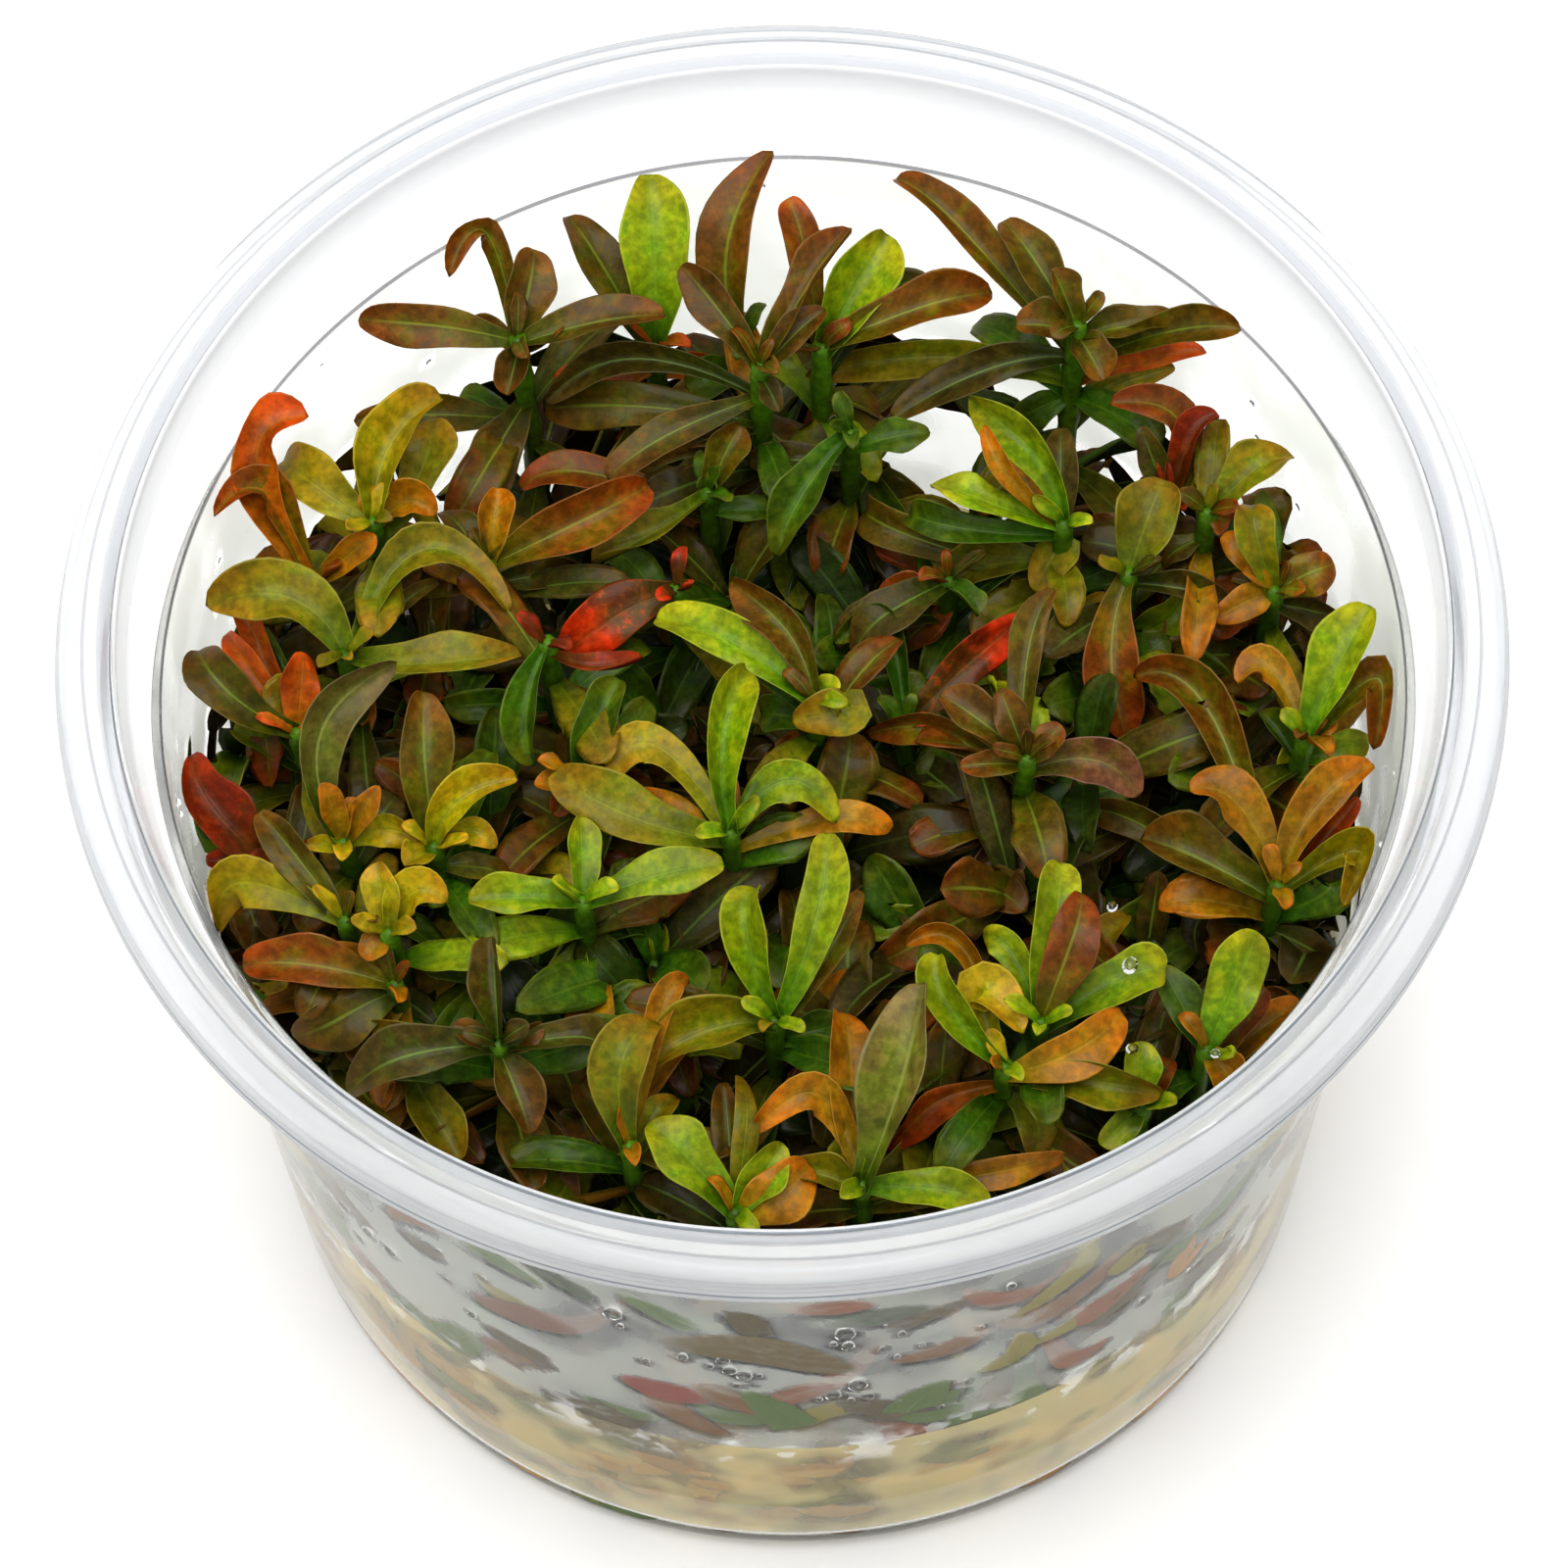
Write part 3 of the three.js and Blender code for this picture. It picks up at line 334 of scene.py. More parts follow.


# Veins, mottling and edge of a leaf, from its place on the blade: x runs across from -1 to 1, y from the stem
# to the tip, z differs from leaf to leaf. Painted shade darkens it low in the cup, by its height.
def makeLeafPattern():
    tree, given, out = startGroup("leafPattern", [
        ("Blade", "Color", (0.2, 0.3, 0.05, 1)), ("Foot", "Color", (0.1, 0.3, 0.02, 1)),
        ("Tip", "Color", (0.3, 0.3, 0.05, 1)), ("Rim", "Color", (0.4, 0.4, 0.1, 1)),
        ("Rib", "Color", (0.4, 0.5, 0.1, 1)), ("Under", "Color", (0.3, 0.3, 0.1, 1)),
        ("Foot Reach", "Float", 0.3), ("Tip Start", "Float", 0.75), ("Rib Width", "Float", 0.09),
        # Deep Start, Deep End and Deep Tone set the painted shade: the height where it begins, where it is
        # full, and how dark it gets
        ("Rib Share", "Float", 0.5), ("Shine", "Float", 0.36), ("Deep Start", "Float", 0.056),
        ("Deep End", "Float", 0.04), ("Deep Tone", "Float", 0.28),
    ], [("Color", "Color"), ("Roughness", "Float"), ("Height", "Float"), ("Wet", "Float")])
    where = objectPlace(tree)
    across, along, seed = split(tree, attribute(tree, "leafPlace", "Vector"))
    side = attribute(tree, "leafSide", "Fac")

    patches = noise(tree, where, 420, 1.5, 0.6)
    blots = noise(tree, where, 1300, 2.0, 0.65)
    offCentre = calc(tree, "ABSOLUTE", across)
    uneven = calc(tree, "MULTIPLY_ADD", patches, 0.34, along)
    uneven = calc(tree, "SUBTRACT", uneven, 0.17)

    footShare = spread(tree, uneven, 0.02, given["Foot Reach"], 1.0, 0.0)
    tipEnd = calc(tree, "ADD", given["Tip Start"], 0.2)
    tipShare = spread(tree, uneven, given["Tip Start"], tipEnd)
    colour = blend(tree, spread(tree, patches, 0.5, 0.62, 0.0, 0.55), given["Blade"], given["Foot"])
    colour = blend(tree, spread(tree, blots, 0.54, 0.66, 0.0, 0.4), colour, given["Tip"])
    colour = blend(tree, tipShare, colour, given["Tip"])
    colour = blend(tree, footShare, colour, given["Foot"])

    # A paler zone along the rib, where the green shows through
    inner = calc(tree, "MULTIPLY", spread(tree, offCentre, 0.0, 0.6, 1.0, 0.0), 0.36)
    colour = blend(tree, inner, colour, given["Foot"])

    # Side veins leave the rib forwards
    slant = calc(tree, "MULTIPLY_ADD", offCentre, -0.16, along)
    bend = calc(tree, "MULTIPLY_ADD", patches, 0.05, slant)
    wave = calc(tree, "SINE", calc(tree, "MULTIPLY", bend, 58.0))
    vein = spread(tree, wave, 0.72, 1.0)
    fade = spread(tree, offCentre, 0.75, 0.95, 1.0, 0.0)
    vein = calc(tree, "MULTIPLY", vein, fade)
    colour = blend(tree, calc(tree, "MULTIPLY", vein, 0.05), colour, given["Rib"])

    # Mottling in two sizes, a lighter or darker leaf here and there, and painted shade that darkens leaves
    # low in the cup
    tone = spread(tree, patches, 0.3, 0.72, 0.74, 1.22)
    tone = calc(tree, "MULTIPLY", tone, spread(tree, blots, 0.32, 0.68, 0.76, 1.22))
    tone = calc(tree, "MULTIPLY", tone, calc(tree, "MULTIPLY_ADD", seed, 0.34, 0.83))
    up = split(tree, where)["Z"]
    deep = spread(tree, up, given["Deep End"], given["Deep Start"], given["Deep Tone"], 1.0)
    tone = calc(tree, "MULTIPLY", tone, deep)
    grey = tree.nodes.new("ShaderNodeCombineColor")
    for socket in grey.inputs:
        tree.links.new(tone, socket)
    colour = blend(tree, 1.0, colour, grey.outputs[0], "MULTIPLY")

    ribMiddle = calc(tree, "MULTIPLY", given["Rib Width"], 0.35)
    rib = spread(tree, offCentre, ribMiddle, given["Rib Width"], 1.0, 0.0)
    rib = calc(tree, "MULTIPLY", rib, spread(tree, along, 0.55, 1.0, 1.0, 0.15))
    colour = blend(tree, calc(tree, "MULTIPLY", rib, given["Rib Share"]), colour, given["Rib"])
    edge = spread(tree, offCentre, 0.9, 0.99)
    colour = blend(tree, calc(tree, "MULTIPLY", edge, 0.6), colour, given["Rim"])
    below = calc(tree, "MULTIPLY", side, 0.8)
    colour = blend(tree, below, colour, given["Under"])
    tree.links.new(colour, out["Color"])

    # The upper side is wet, and the underside is dull
    tree.links.new(spread(tree, side, 0.0, 1.0, 0.08, 0.0), out["Wet"])
    dull = calc(tree, "ADD", spread(tree, blots, 0.25, 0.75, -0.08, 0.12), given["Shine"])
    tree.links.new(calc(tree, "MULTIPLY_ADD", side, 0.4, dull), out["Roughness"])
    tree.links.new(calc(tree, "MULTIPLY_ADD", rib, -0.6, blots), out["Height"])
    return tree


leafPattern = makeLeafPattern()

# Colours of the leaves by tone: blade, its foot, its tip, its rim and its midrib
leaf = {
    "gain": 0.7,  # how much lighter the leaf itself is than it looks in its own shade
    "thick": 0.3 * mm,
    "groove": 0.07 * mm,  # depth of the groove over the midrib
    "grooveHalf": 0.22 * mm,
    "keel": 0.3 * mm,  # depth of the midrib under the blade
    "keelHalf": 0.3 * mm,
    "widen": 1.08,
    "look": {
        "fold": (10, 46), "roll": (-12, 12), "twist": (-34, 34), "ripple": (0.04, 0.18), "peak": (0.56, 0.7),
        "cup": (-0.3, 0.45),
    },
    "outline": {"uneven": (-0.12, 0.12), "point": (1.2, 2.1)},
    "curl": (-0.02, 0.08),
    "hook": (0.1, 0.24),  # curl of the leaves that hang down at the tip
    "hooked": 0.3,  # the share of such leaves
    "rows": 16,
    "columns": 8,
    "shine": 0.42,
    "under": 1.5,  # how much lighter the underside is
    "strawUnder": 0.95,
    "coat": 0.15,  # roughness of the wet upper side
    "bump": 0.12 * mm,
    "plainRibs": ("russet", "brown", "bronze", "purple", "dusk", "grey", "purpleRustTip"),
    "sharpTips": ("scarlet", "greenRustTip", "purpleRustTip", "rustGreyTip", "yellowGreyTip"),
    "tones": {
        "lime": ("#8c9c0e", "#4e7a08", "#9a9812", "#b4b63c", "#80a21c"),
        "green": ("#4a620a", "#386408", "#5e660a", "#74822c", "#7e9424"),
        # Painted shade: the next two tones are darker copies of green and brown, for leaves that sit low
        # among the shoots
        "deep": ("#304008", "#284206", "#383e08", "#4c5c1e", "#4c6a16"),
        "deepBrown": ("#443408", "#323e08", "#4a3008", "#5c4e22", "#54621c"),
        "yellow": ("#aa920c", "#7a8208", "#ae8616", "#c0a832", "#b0a824"),
        "olive": ("#80740c", "#5a6e08", "#8a6a0c", "#a0923c", "#94982c"),
        "amber": ("#a26c0a", "#826e08", "#b0680a", "#c08a36", "#a8922c"),
        "orange": ("#b04e0a", "#9c640c", "#c04c0a", "#c8702c", "#b87c1e"),
        "red": ("#822a06", "#563808", "#9a3206", "#8c4422", "#7c521c"),
        "russet": ("#80440a", "#605e08", "#8e400a", "#9c6436", "#8c9030"),
        "brown": ("#724808", "#566008", "#7c420a", "#8e6a34", "#8e9c30"),
        "bronze": ("#604c08", "#4a5608", "#6c460a", "#7c6c32", "#80942e"),
        "purple": ("#62440e", "#484e08", "#74480e", "#80663c", "#80943a"),
        "dusk": ("#4e4010", "#3a4808", "#5a4612", "#70663e", "#76943c"),
        "rose": ("#744a30", "#58540e", "#84563c", "#967064", "#909440"),
        "grey": ("#746a2c", "#566a0c", "#746230", "#968a60", "#9ca454"),
        "limeRustFoot": ("#8a9a12", "#b0580c", "#949c16", "#bcb43c", "#bec44c"),
        "greenRustTip": ("#587c12", "#3a6c0c", "#b06818", "#92983a", "#96b034"),
        "purpleRustTip": ("#5e3e18", "#4a4e0a", "#a05418", "#7e5e48", "#84903a"),
        "rustGreyTip": ("#a84808", "#94540c", "#74642e", "#bc7234", "#b0802a"),
        "yellowGreyTip": ("#9c8a14", "#86840c", "#746438", "#b8a43c", "#aca838"),
        "scarlet": ("#6e3410", "#4c4010", "#c8380a", "#a2461c", "#7c6028"),
        "straw": ("#e0aa50", "#c49440", "#eaba60", "#d8b470", "#c8a860"),
        "stem": ("#5c7816", "#74701e", "#4e760e", "#7c9030", "#7c9030"),
    },
}


def leafMaterial(tone):
    blade, foot, tip, rim, rib = [paint(code, leaf["gain"]) for code in leaf["tones"][tone]]
    under = paint(leaf["tones"][tone][0], leaf["gain"] * leaf["strawUnder" if tone == "straw" else "under"])
    name = "leaf" + tone[0].upper() + tone[1:]
    material, tree, shader = startMaterial(name, **{
        "IOR": 1.42, "Specular IOR Level": 0.18, "Coat Roughness": leaf["coat"],
    })
    out = useGroup(tree, leafPattern, **{
        "Blade": blade, "Foot": foot, "Tip": tip, "Rim": rim, "Rib": rib, "Under": under,
        "Foot Reach": 0.5, "Tip Start": 0.55 if tone in leaf["sharpTips"] else 0.68,
        "Shine": leaf["shine"], "Rib Share": 0.5 if tone in leaf["plainRibs"] else 0.25,
    })
    tree.links.new(out["Color"], shader.inputs["Base Color"])
    tree.links.new(out["Roughness"], shader.inputs["Roughness"])
    tree.links.new(out["Wet"], shader.inputs["Coat Weight"])
    addBump(tree, shader, out["Height"], 0.5, leaf["bump"])
    return material


toneNames = list(leaf["tones"])
leafMaterials = [leafMaterial(tone) for tone in toneNames]
print("leaf materials made:", len(leafMaterials))


# Half the blade's width along it, as a share of its widest: a narrow foot, widest past the middle, round end
def bladeHalf(along, peak, foot, point):
    rise = np.clip(along / peak, 0, 1)
    body = foot + (1 - foot) * rise ** 1.4 * (2.4 - 1.4 * rise)
    end = np.clip((along - peak) / (1 - peak), 0, 1)
    return np.clip(body, 0, 1) * np.sqrt(np.clip(1 - end ** point, 0, 1))


def bezier(base, control, tip, steps):
    line = np.outer((1 - steps) ** 2, base) + np.outer(2 * steps * (1 - steps), control)
    line = line + np.outer(steps ** 2, tip)
    run = np.outer(2 * (1 - steps), control - base) + np.outer(2 * steps, tip - control)
    return line, run / np.linalg.norm(run, axis=1)[:, None]


def ringFaces(rows, ring):
    faces = []
    for row in range(rows - 1):
        for corner in range(ring):
            first, second, following = row * ring, (row + 1) * ring, (corner + 1) % ring
            faces.append((first + corner, first + following, second + following, second + corner))
    return faces


# A face at the foot, the rings, and a fan round one last point
def closedFaces(rows, ring):
    end = rows * ring
    faces = [tuple(range(ring - 1, -1, -1)), *ringFaces(rows, ring)]
    return faces + [(end - ring + corner, end - ring + (corner + 1) % ring, end) for corner in range(ring)]


# One closed leaf from base past middle to tip. look may give fold, roll, twist, curl, cup, ripple, wavy,
# uneven, peak, foot and point.
def addLeaf(gathered, route, wide, facing, tone, seed, look, rows=None, columns=None):
    rows = rows or leaf["rows"]
    columns = columns or leaf["columns"]
    base, middle, tip = [np.array(point) for point in route]
    control = 2 * middle - 0.5 * base - 0.5 * tip
    steps = 1 - (1 - np.linspace(0, 1, rows + 1)) ** 1.35
    line, run = bezier(base, control, tip, steps)
    length = np.linalg.norm(np.diff(line, axis=0), axis=1).sum()
    sides = np.cross(run, np.array(facing))
    sides /= np.linalg.norm(sides, axis=1)[:, None]
    ups = np.cross(sides, run)
    turn = math.radians(look.get("roll", 0)) + math.radians(look.get("twist", 0)) * steps
    cosine, sine = np.cos(turn)[:, None], np.sin(turn)[:, None]
    sides, ups = sides * cosine + ups * sine, ups * cosine - sides * sine
    line = line - ups * (np.clip((steps - 0.55) / 0.45, 0, 1) ** 2 * look.get("curl", 0) * length)[:, None]

    half = wide / 2 * bladeHalf(steps, look.get("peak", 0.64), look.get("foot", 0.3), look.get("point", 1.9))
    fold = math.radians(look.get("fold", 14))
    top = np.cos(np.linspace(math.pi, 0, columns + 1))
    across = np.concatenate([top, top[-2:0:-1]])
    lower = np.concatenate([np.zeros(columns + 1), np.ones(columns - 1)])
    points, places = [], []
    for row in range(rows):
        swing = np.sin(seed * 70 + 11 * steps[row] + 2 * np.sign(across)) * look.get("wavy", 0.07)
        spot = across * half[row] * (1 + look.get("uneven", 0) * np.sign(across) + swing)
        taper = (1 - steps[row]) ** 0.7
        waves = np.sin(seed * 40 + 9 * steps[row] + 1.3 * np.sign(across)) * np.abs(across) ** 3
        height = np.abs(spot) * math.sin(fold) + look.get("cup", 0.1) * across ** 2 * half[row]
        height = height + look.get("ripple", 0.05) * half[row] * waves * 1.6
        groove = -leaf["groove"] * np.exp(-(spot / leaf["grooveHalf"]) ** 2) * taper
        keel = -leaf["keel"] * np.exp(-(spot / leaf["keelHalf"]) ** 2) * taper
        thick = leaf["thick"] * (0.25 + 0.75 * (1 - across ** 2)) * min(1, half[row] / (0.5 * mm))
        height = height + np.where(lower > 0, keel - thick, groove)
        points.append(line[row] + np.outer(spot * math.cos(fold), sides[row]) + np.outer(height, ups[row]))
        places.append(np.stack([across, np.full(len(across), steps[row]), np.full(len(across), seed)], 1))
    points = pressInside(np.concatenate([*points, line[rows:] - ups[rows:] * leaf["thick"] * 0.3]))
    places = np.concatenate([*places, np.array([[0, 1, seed]])])
    faces = closedFaces(rows, len(across))
    gathered.add(points, faces, toneNames.index(tone), places, np.append(np.tile(lower, rows), 0.5))


# A stem swells where each pair of leaves grows
stem = {
    "radius": 0.75 * mm,
    "sides": 8,
    "rows": 26,
    "node": 5.4 * mm,
    "swelling": 0.22,
    "foot": 16.5 * mm,  # height of its lower end, in the gel
    "spread": 0.86,  # the foot's distance from the middle, as a share of the crown's
    "limit": 34 * mm,
}


def stemRoute(crown):
    foot = Vector((crown.x, crown.y, 0)) * stem["spread"]
    foot *= min(1, stem["limit"] / foot.length)
    foot.z = stem["foot"]
    control = (foot + crown) / 2
    control.x += (crown.x - foot.x) * 0.2
    control.y += (crown.y - foot.y) * 0.2
    return foot, control, crown


def onStem(route, share):
    foot, control, crown = route
    return foot * (1 - share) ** 2 + control * (2 * share * (1 - share)) + crown * share ** 2


def addStem(gathered, route, radius, seed):
    foot, control, crown = [np.array(point) for point in route]
    steps = np.linspace(0, 1, stem["rows"])
    line, run = bezier(foot, control, crown, steps)
    sides = np.cross(run, np.array((0.3, 1.0, 0.0)))
    sides /= np.linalg.norm(sides, axis=1)[:, None]
    ups = np.cross(sides, run)
    length = np.linalg.norm(crown - foot)
    turns = np.arange(stem["sides"]) * 2 * math.pi / stem["sides"]
    points = []
    for row, step in enumerate(steps):
        swell = 1 + stem["swelling"] * math.cos(2 * math.pi * (1 - step) * length / stem["node"]) ** 5
        reach = radius * swell * (1 if step < 0.97 else 0.7)
        around = np.outer(np.cos(turns), sides[row]) + np.outer(np.sin(turns), ups[row])
        points.append(line[row] + reach * around)
    ring = stem["sides"]
    points = np.concatenate(points)
    faces = [tuple(range(ring - 1, -1, -1)), *ringFaces(stem["rows"], ring)]
    faces.append(tuple(range(len(points) - ring, len(points))))
    places = np.zeros((len(points), 3))
    places[:, 0] = 0.5
    places[:, 1] = np.repeat(steps, ring)
    places[:, 2] = seed
    gathered.add(points, faces, toneNames.index("stem"), places)


# The shoots and their leaves. A leaf's x and y are the place of its tip in the picture in pixels, and bend is
# a place on its middle. rise is how far the tip stands over the leaf's foot, below is how far that foot is
# under the crown, and wide is the leaf's width, all in millimetres. pull draws it further in from the wall.
def at(x, y, wide, tone, **more):
    return {"tip": (x, y), "wide": wide, "tone": tone, **more}


# x and y are the crown's place in the picture, and up is its height in millimetres
def seenShoot(x, y, up, *leaves):
    return {"crown": (x, y), "up": up, "leaves": leaves}


# A shoot that only shows through the wall. x, y and up are in millimetres from the middle of the base.
def wallShoot(x, y, up, *leaves):
    return {"stand": (x, y), "up": up, "leaves": leaves}


shootTable = {
    "back_left_cross": seenShoot(528, 345, 61,
        at(361, 328, 3.1, "brown"), at(680, 320, 3.2, "purple"), at(549, 252, 3.5, "purple", rise=3),
        at(518, 404, 2.9, "purple", rise=0), at(478, 325, 2, "purple", rise=2),
        at(576, 329, 2, "purple", rise=2), at(479, 515, 3.9, "purple", rise=-1, below=6),
        at(457, 280, 2.7, "brown", bend=(497, 238), rise=7, below=3),
        at(360, 429, 2.9, "bronze", rise=0, below=8)),
    "back_mid_cross": seenShoot(775, 372, 62,
        at(695, 270, 3.3, "purple", rise=3), at(867, 230, 3.3, "brown", rise=4),
        at(842, 314, 2.7, "purple", rise=3), at(796, 420, 2, "dusk", rise=0),
        at(558, 414, 3.2, "dusk", bend=(645, 366), rise=-2, below=3),
        at(621, 490, 2.8, "purple", bend=(675, 447), rise=-2, below=2.5),
        at(549, 421, 3.6, "bronze", bend=(640, 414), rise=-2, below=5.5),
        at(700, 455, 2.8, "bronze", rise=-2, below=6),
        at(642, 502, 2.2, "purple", bend=(690, 470), rise=-1, below=8)),
    "back_right_cross": seenShoot(1100, 330, 62,
        at(1024, 221, 3.2, "bronze", rise=3, below=1), at(1074, 274, 2.5, "bronze", rise=4),
        at(1036, 331, 2.9, "purple"), at(1126, 389, 3, "purple", rise=0), at(1203, 331, 3, "bronze"),
        at(911, 170, 3.4, "brown", bend=(985, 238), rise=3, below=3),
        at(909, 430, 3.5, "dusk", bend=(1010, 376), rise=-3, below=2.5),
        at(1267, 335, 2.7, "bronze", bend=(1195, 338), rise=4, below=3),
        at(820, 386, 3.3, "olive", bend=(960, 364), rise=-1, below=5),
        at(1232, 354, 2, "orange", rise=-1, below=5), at(1038, 428, 2.9, "green", rise=-2, below=6),
        at(1201, 374, 1.9, "olive", rise=0, below=7), at(1166, 400, 1.8, "brown", rise=-1, below=8)),
    "back_left_upright": seenShoot(668, 352, 57,
        at(661, 176, 5, "lime", bend=(668, 258), rise=8),
        at(580, 217, 3.7, "bronze", bend=(615, 272), rise=6, below=1),
        at(563, 402, 3.6, "orange", rise=-2, below=2), at(736, 374, 2.6, "orange", rise=-1, below=3)),
    "back_mid_upright": seenShoot(757, 348, 56,
        at(789, 154, 4.2, "brown", bend=(742, 253), rise=9), at(700, 395, 3, "green", below=3)),
    "back_mid_long": seenShoot(838, 352, 60,
        at(1016, 294, 3.4, "brown", rise=2), at(905, 238, 4.6, "lime", rise=4, below=1),
        at(803, 202, 3, "russet", bend=(822, 258), rise=7, below=2),
        at(951, 293, 2.8, "dusk", bend=(905, 300), rise=4, below=4),
        at(900, 425, 2.6, "bronze", rise=-2, below=5)),
    "back_right_red": seenShoot(1195, 512, 54,
        at(1132, 412, 2.8, "russet", bend=(1203, 430), rise=5),
        at(1243, 420, 2.7, "red", bend=(1213, 452), rise=5), at(1163, 436, 2.1, "dusk", rise=5),
        at(1230, 470, 2.3, "yellow", rise=3, below=1), at(1106, 533, 1.8, "brown", rise=0, below=3)),
    "right_olive": seenShoot(1152, 583, 56,
        at(1188, 486, 4.3, "olive", rise=4), at(1152, 753, 4, "russet", bend=(1134, 668), rise=-5),
        at(1262, 614, 2.3, "dusk", rise=0, below=1),
        at(1206, 603, 3, "lime", bend=(1188, 635), rise=3, below=8),
        at(1186, 552, 2.6, "bronze", rise=2, below=6)),
    "right_back": seenShoot(1233, 520, 58,
        at(1316, 453, 4, "olive", rise=3), at(1256, 534, 2.6, "russet", rise=-0.5),
        at(1180, 575, 2.4, "bronze", rise=-1, below=3)),
    "right_orange": seenShoot(1302, 600, 56,
        at(1362, 574, 3.5, "brown", rise=2), at(1278, 507, 3, "olive", bend=(1284, 553), rise=5),
        at(1236, 633, 2.6, "amber", bend=(1278, 611), rise=0), at(1247, 543, 1.9, "amber", rise=3),
        at(1364, 631, 2.2, "dusk", rise=-1, below=1), at(1256, 590, 1.6, "bronze")),
    "right_green": seenShoot(1333, 750, 56,
        at(1398, 617, 3.9, "lime", rise=5), at(1262, 696, 2.5, "amber", bend=(1297, 686), rise=2),
        at(1410, 766, 3.6, "brown", bend=(1404, 692), below=1, pull=1.4),
        at(1400, 757, 2.3, "lime", rise=0, below=3), at(1284, 727, 2.2, "green", below=3),
        at(1362, 736, 1.2, "amber", rise=2)),
    "right_amber": seenShoot(1305, 902, 55,
        at(1214, 807, 3.9, "amber", bend=(1264, 822), rise=4),
        at(1403, 778, 3.7, "amber", bend=(1340, 828), rise=4),
        at(1163, 851, 4.7, "bronze", bend=(1235, 882), below=2),
        at(1386, 932, 3.4, "yellow", bend=(1385, 868), rise=0, below=1, pull=1.4),
        at(1156, 690, 3.8, "brown", bend=(1235, 728), rise=4, below=3),
        at(1108, 828, 2.6, "bronze", bend=(1180, 850), below=5),
        at(1222, 990, 2.7, "dusk", bend=(1228, 935), rise=-2, below=5),
        at(1368, 985, 3, "bronze", rise=-2, below=5), at(1385, 812, 1.7, "orange", rise=4, below=2)),
    "right_front_oval": seenShoot(1232, 1070, 53,
        at(1286, 950, 4, "lime", rise=5), at(1264, 1110, 3.2, "amber", rise=-1),
        at(1183, 985, 2.8, "green", rise=3), at(1292, 1008, 3, "russet", rise=2, below=3),
        at(1328, 1020, 2.8, "amber", below=5)),
    "right_purple": seenShoot(1048, 772, 58,
        at(959, 708, 3, "purple", rise=2), at(1020, 704, 2.7, "purple", rise=4),
        at(1084, 740, 2.1, "brown", rise=2), at(979, 782, 2.1, "brown"),
        at(1163, 809, 3.7, "rose", bend=(1115, 775), rise=0, below=1),
        at(888, 757, 2.9, "brown", bend=(955, 745), rise=0, below=3),
        at(945, 978, 3.9, "rose", bend=(1008, 893), rise=-3, below=8),
        at(1076, 600, 2.8, "bronze", bend=(1048, 672), rise=5, below=2)),
    "mid_red": seenShoot(925, 738, 53,
        at(1046, 630, 3.7, "scarlet", bend=(985, 680), rise=3),
        at(862, 656, 3, "green", bend=(905, 640), rise=2, below=2)),
    "mid_green_fan": seenShoot(1086, 532, 58,
        at(978, 417, 3.5, "lime", bend=(1050, 456), rise=4),
        at(951, 487, 3.2, "lime", bend=(1008, 513), rise=2),
        at(1004, 432, 1.5, "amber", bend=(1030, 488), rise=5),
        at(908, 513, 2.8, "green", bend=(975, 538), rise=0, below=1),
        at(1052, 600, 3.4, "olive", bend=(1082, 556), rise=-2, below=1),
        at(958, 601, 3.5, "olive", bend=(1010, 577), rise=-3, below=4),
        at(861, 507, 3.4, "bronze", bend=(925, 545), below=6), at(1082, 432, 2.7, "dusk", rise=4, below=3)),
    "mid_dark": seenShoot(968, 590, 54,
        at(861, 656, 3.5, "dusk", rise=0), at(1000, 626, 2.6, "green"),
        at(893, 604, 2.4, "russet", below=3), at(880, 480, 3, "green", rise=-1, below=5)),
    "mid_drooping": seenShoot(868, 440, 58,
        at(789, 568, 3.9, "green", bend=(822, 500), rise=-4), at(950, 440, 2.8, "green", below=2),
        at(760, 470, 2.6, "dusk", rise=-1, below=4)),
    "mid_green": seenShoot(832, 714, 58,
        at(664, 622, 4.2, "lime", bend=(748, 655)), at(733, 597, 3.3, "purple", bend=(800, 640), rise=3),
        at(808, 735, 3.6, "olive", bend=(866, 722)),
        at(698, 603, 3, "green", bend=(772, 665), rise=0, below=2),
        at(768, 728, 2.7, "green", rise=-1, below=2), at(853, 690, 1.8, "lime", rise=2),
        at(757, 788, 2.6, "dusk", rise=-1, below=6)),
    "mid_arch": seenShoot(745, 848, 57,
        at(771, 677, 3.9, "lime", bend=(737, 748), rise=5), at(856, 830, 3.6, "lime", bend=(800, 797)),
        at(563, 784, 4.3, "olive", bend=(640, 832), rise=2, below=1),
        at(622, 790, 3, "yellow", bend=(672, 762), rise=2),
        at(912, 848, 2.3, "amber", bend=(850, 836), rise=0, below=2),
        at(645, 806, 2.3, "amber", rise=0, below=1), at(822, 860, 2.6, "green", rise=0, below=4),
        at(703, 778, 2.4, "green", rise=2, below=1)),
    "centre_green": seenShoot(594, 918, 57,
        at(477, 920, 3.6, "lime"), at(739, 883, 3.5, "lime", bend=(672, 893)),
        at(592, 832, 2.6, "lime", rise=2), at(583, 1042, 3.3, "lime", bend=(584, 985), rise=-1, below=6),
        at(660, 955, 2.2, "green", rise=-1, below=5)),
    "front_pair": seenShoot(790, 1040, 56,
        at(763, 893, 3.7, "lime", bend=(763, 955), rise=6),
        at(843, 848, 4, "lime", bend=(832, 940), rise=6),
        at(656, 1088, 4.9, "olive", bend=(728, 1050), rise=0),
        at(882, 902, 2.2, "bronze", bend=(838, 985), rise=4, below=1),
        at(863, 1045, 2.8, "green", rise=0, below=3), at(770, 1002, 1.6, "brown", rise=2)),
    "front_right_fan": seenShoot(1025, 1087, 55,
        at(957, 973, 3, "lime", bend=(968, 1025), rise=4),
        at(1046, 1046, 3.3, "yellow", bend=(1000, 1012), rise=3),
